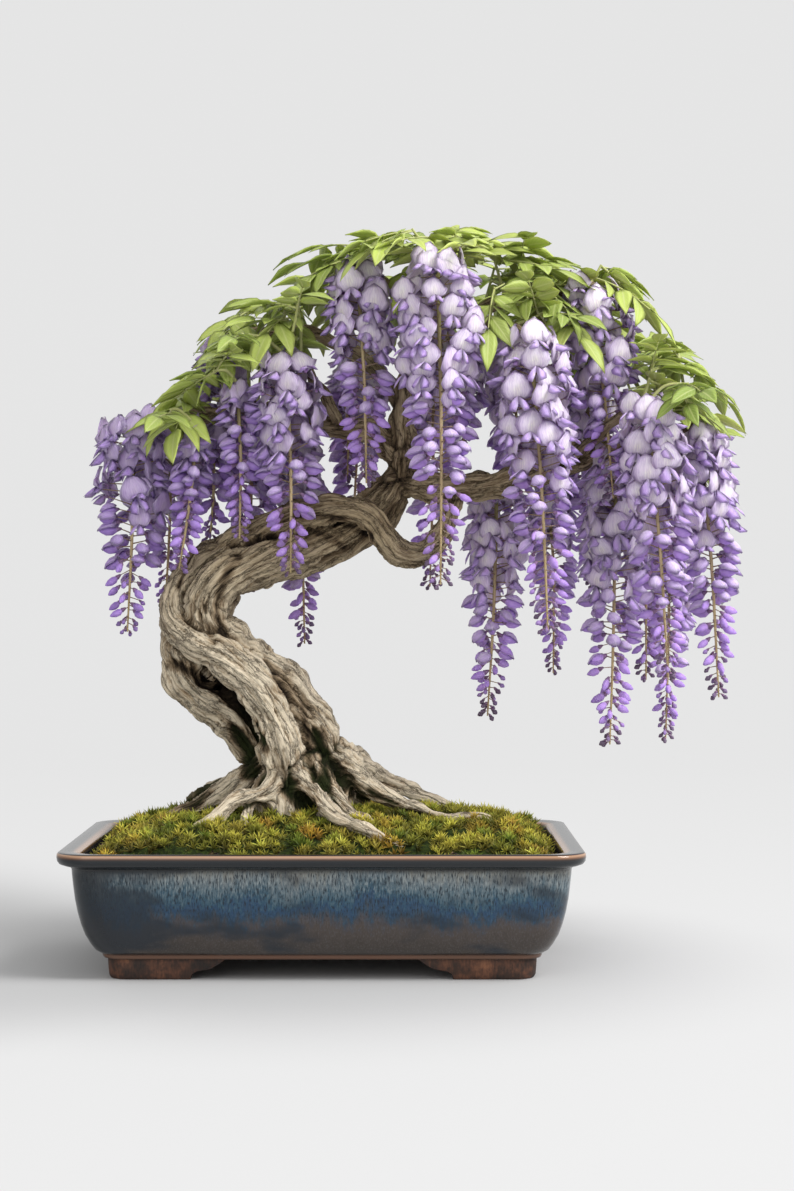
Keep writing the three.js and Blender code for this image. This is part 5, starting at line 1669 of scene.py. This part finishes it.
def buildTuft(tuft, middle, form, wood, draw):  # sprigs in a spiral; wood: the stems to keep clear of
    samples, near = wood
    patch = patchy(*middle, 26, 12)
    green = 0.45 + patch * 1.2 + draw.uniform(-0.45, 0.45)
    gold = max(0.0, patchy(*middle, 19, 31) * 2.6 - 0.6) + draw.uniform(-0.1, 0.2)
    brown = max(0.0, draw.uniform(-1.4, 0.5))
    reach = ground["tuftReach"] * draw.uniform(0.6, 1.2)
    stamps = []
    for i in range(ground["sprigsInTuft"]):
        out = reach * math.sqrt(i / ground["sprigsInTuft"])
        turn = i * 2.4 + tuft
        lean = Vector((math.cos(turn), math.sin(turn), 0)) * out
        x, y = middle[0] + lean.x, middle[1] + lean.y
        if not insideTray(x, y, 2):
            continue
        z = mossHeight(x, y) + 3.0 - 6.2 * (out / reach) ** 2 * reach / 9
        stem = samples[near.find(Vector((x, y, z)))[1]]
        if (stem[0] - Vector((x, y, z))).length < stem[4] + 0.5:
            continue
        # sprigs painted lighter at the tuft's middle and darker towards its edge: painted shade in the gaps
        # between tufts
        light = draw.uniform(0.7, 1.3) * (1.65 - 1.5 * out / reach)
        shade = sprigShade(green + draw.uniform(-0.2, 0.2), gold, brown, light)
        size = draw.uniform(0.6, 1.0)
        sway = Vector((draw.uniform(-0.3, 0.3), draw.uniform(-0.3, 0.3), 1))
        tilt = (lean / reach * 0.8 + sway).normalized().to_track_quat("Z", "Y").to_matrix().to_4x4()
        spin = tilt @ Matrix.Rotation(draw.uniform(0, 6.3), 4, "Z")
        place = Matrix.Translation(put(x, y, z - 1.2))
        stamps.append((form, place @ spin @ Matrix.Scale(size, 4), shade))
    return stamps


def buildSprigs(draw):
    form = master(shapeSprig)
    wood = sampleStems(tree["strands"] + tree["roots"])
    apart = ground["tuftsApart"]
    columns = int(2 * ground["halfX"] / apart)
    rows = int(2 * ground["halfY"] / apart)
    stamps = []
    for tuft in range(columns * rows):
        x = (tuft % columns + draw.uniform(0.05, 0.95)) * apart - ground["halfX"]
        y = (tuft // columns + draw.uniform(0.05, 0.95)) * apart - ground["halfY"]
        if insideTray(x, y, 2) and mossCover(x, y) >= draw.uniform(-4, 2):
            stamps.extend(buildTuft(tuft, (x, y), form, wood, draw))
    mesh = stampMesh("mossSprigs", stamps)
    newPiece("mossSprigs", mesh, sprigMaterial(), "moss", "moss", smooth=False)


def buildGrains(draw):
    form = master(shapeGrain)
    tones = [paint(c) for c in ground["grainPaint"]]
    stamps = []
    while len(stamps) < ground["grains"]:
        x = draw.uniform(-ground["halfX"], ground["halfX"])
        y = draw.uniform(-ground["halfY"], ground["halfY"])
        if not insideTray(x, y, 2) or mossCover(x, y) > 4:
            continue
        tone = draw.choice(tones)
        size = Matrix.Scale(draw.uniform(0.8, 2.1), 4)
        turn = Matrix.Rotation(draw.uniform(0, 6), 4, "X") @ Matrix.Rotation(draw.uniform(0, 6), 4, "Z")
        place = Matrix.Translation(put(x, y, min(mossHeight(x, y), bareSoil(x, y)) + 0.2))
        stamps.append((form, place @ turn @ size, lambda p, t=tone: t))
    mesh = stampMesh("soilGrains", stamps)
    newPiece("soilGrains", mesh, sprigMaterial(), "soil", "soil", smooth=False)


def buildGround():
    block = groundSheet("soilBlock", lambda x, y: min(mossHeight(x, y) - 1.2, bareSoil(x, y)),
                        ground["soilSteps"], 6)
    newPiece("soilBlock", block, groundMaterial("pottingSoil", ground["soilPaint"], 420.0), "soil", "soil")
    bed = groundSheet("mossBed", lambda x, y: mossHeight(x, y) - (0 if mossCover(x, y) > 0 else 3),
                      ground["mossSteps"], 3)
    newPiece("mossBed", bed, groundMaterial("mossBed", ground["feltPaint"], 300.0), "moss", "moss")
    draw = random.Random(77)
    buildSprigs(draw)
    buildGrains(draw)
    print("ground built")


def dressScreens():
    # Moulded polythene mesh under the soil, with a haze of 3 mm patches
    material, shader = newMaterial("mouldedMesh", 0.6)
    where = addNode(material, "TexCoord").outputs["Object"]
    haze = addNode(material, "TexNoise", None, {"Scale": 300.0}, {"Vector": where})
    colour = addNode(material, "ValToRGB", links={"Fac": haze}, stops=((0.3, "#18201b"), (0.7, "#26322a")))
    link(material, colour, shader, "Base Color")
    for node in ("drain_screen_1", "drain_screen_2"):
        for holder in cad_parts[node].material_slots:
            holder.material = material


buildStudio()
buildTray()
dressScreens()
buildGround()
buildTree()
buildShoots()
buildClusters()
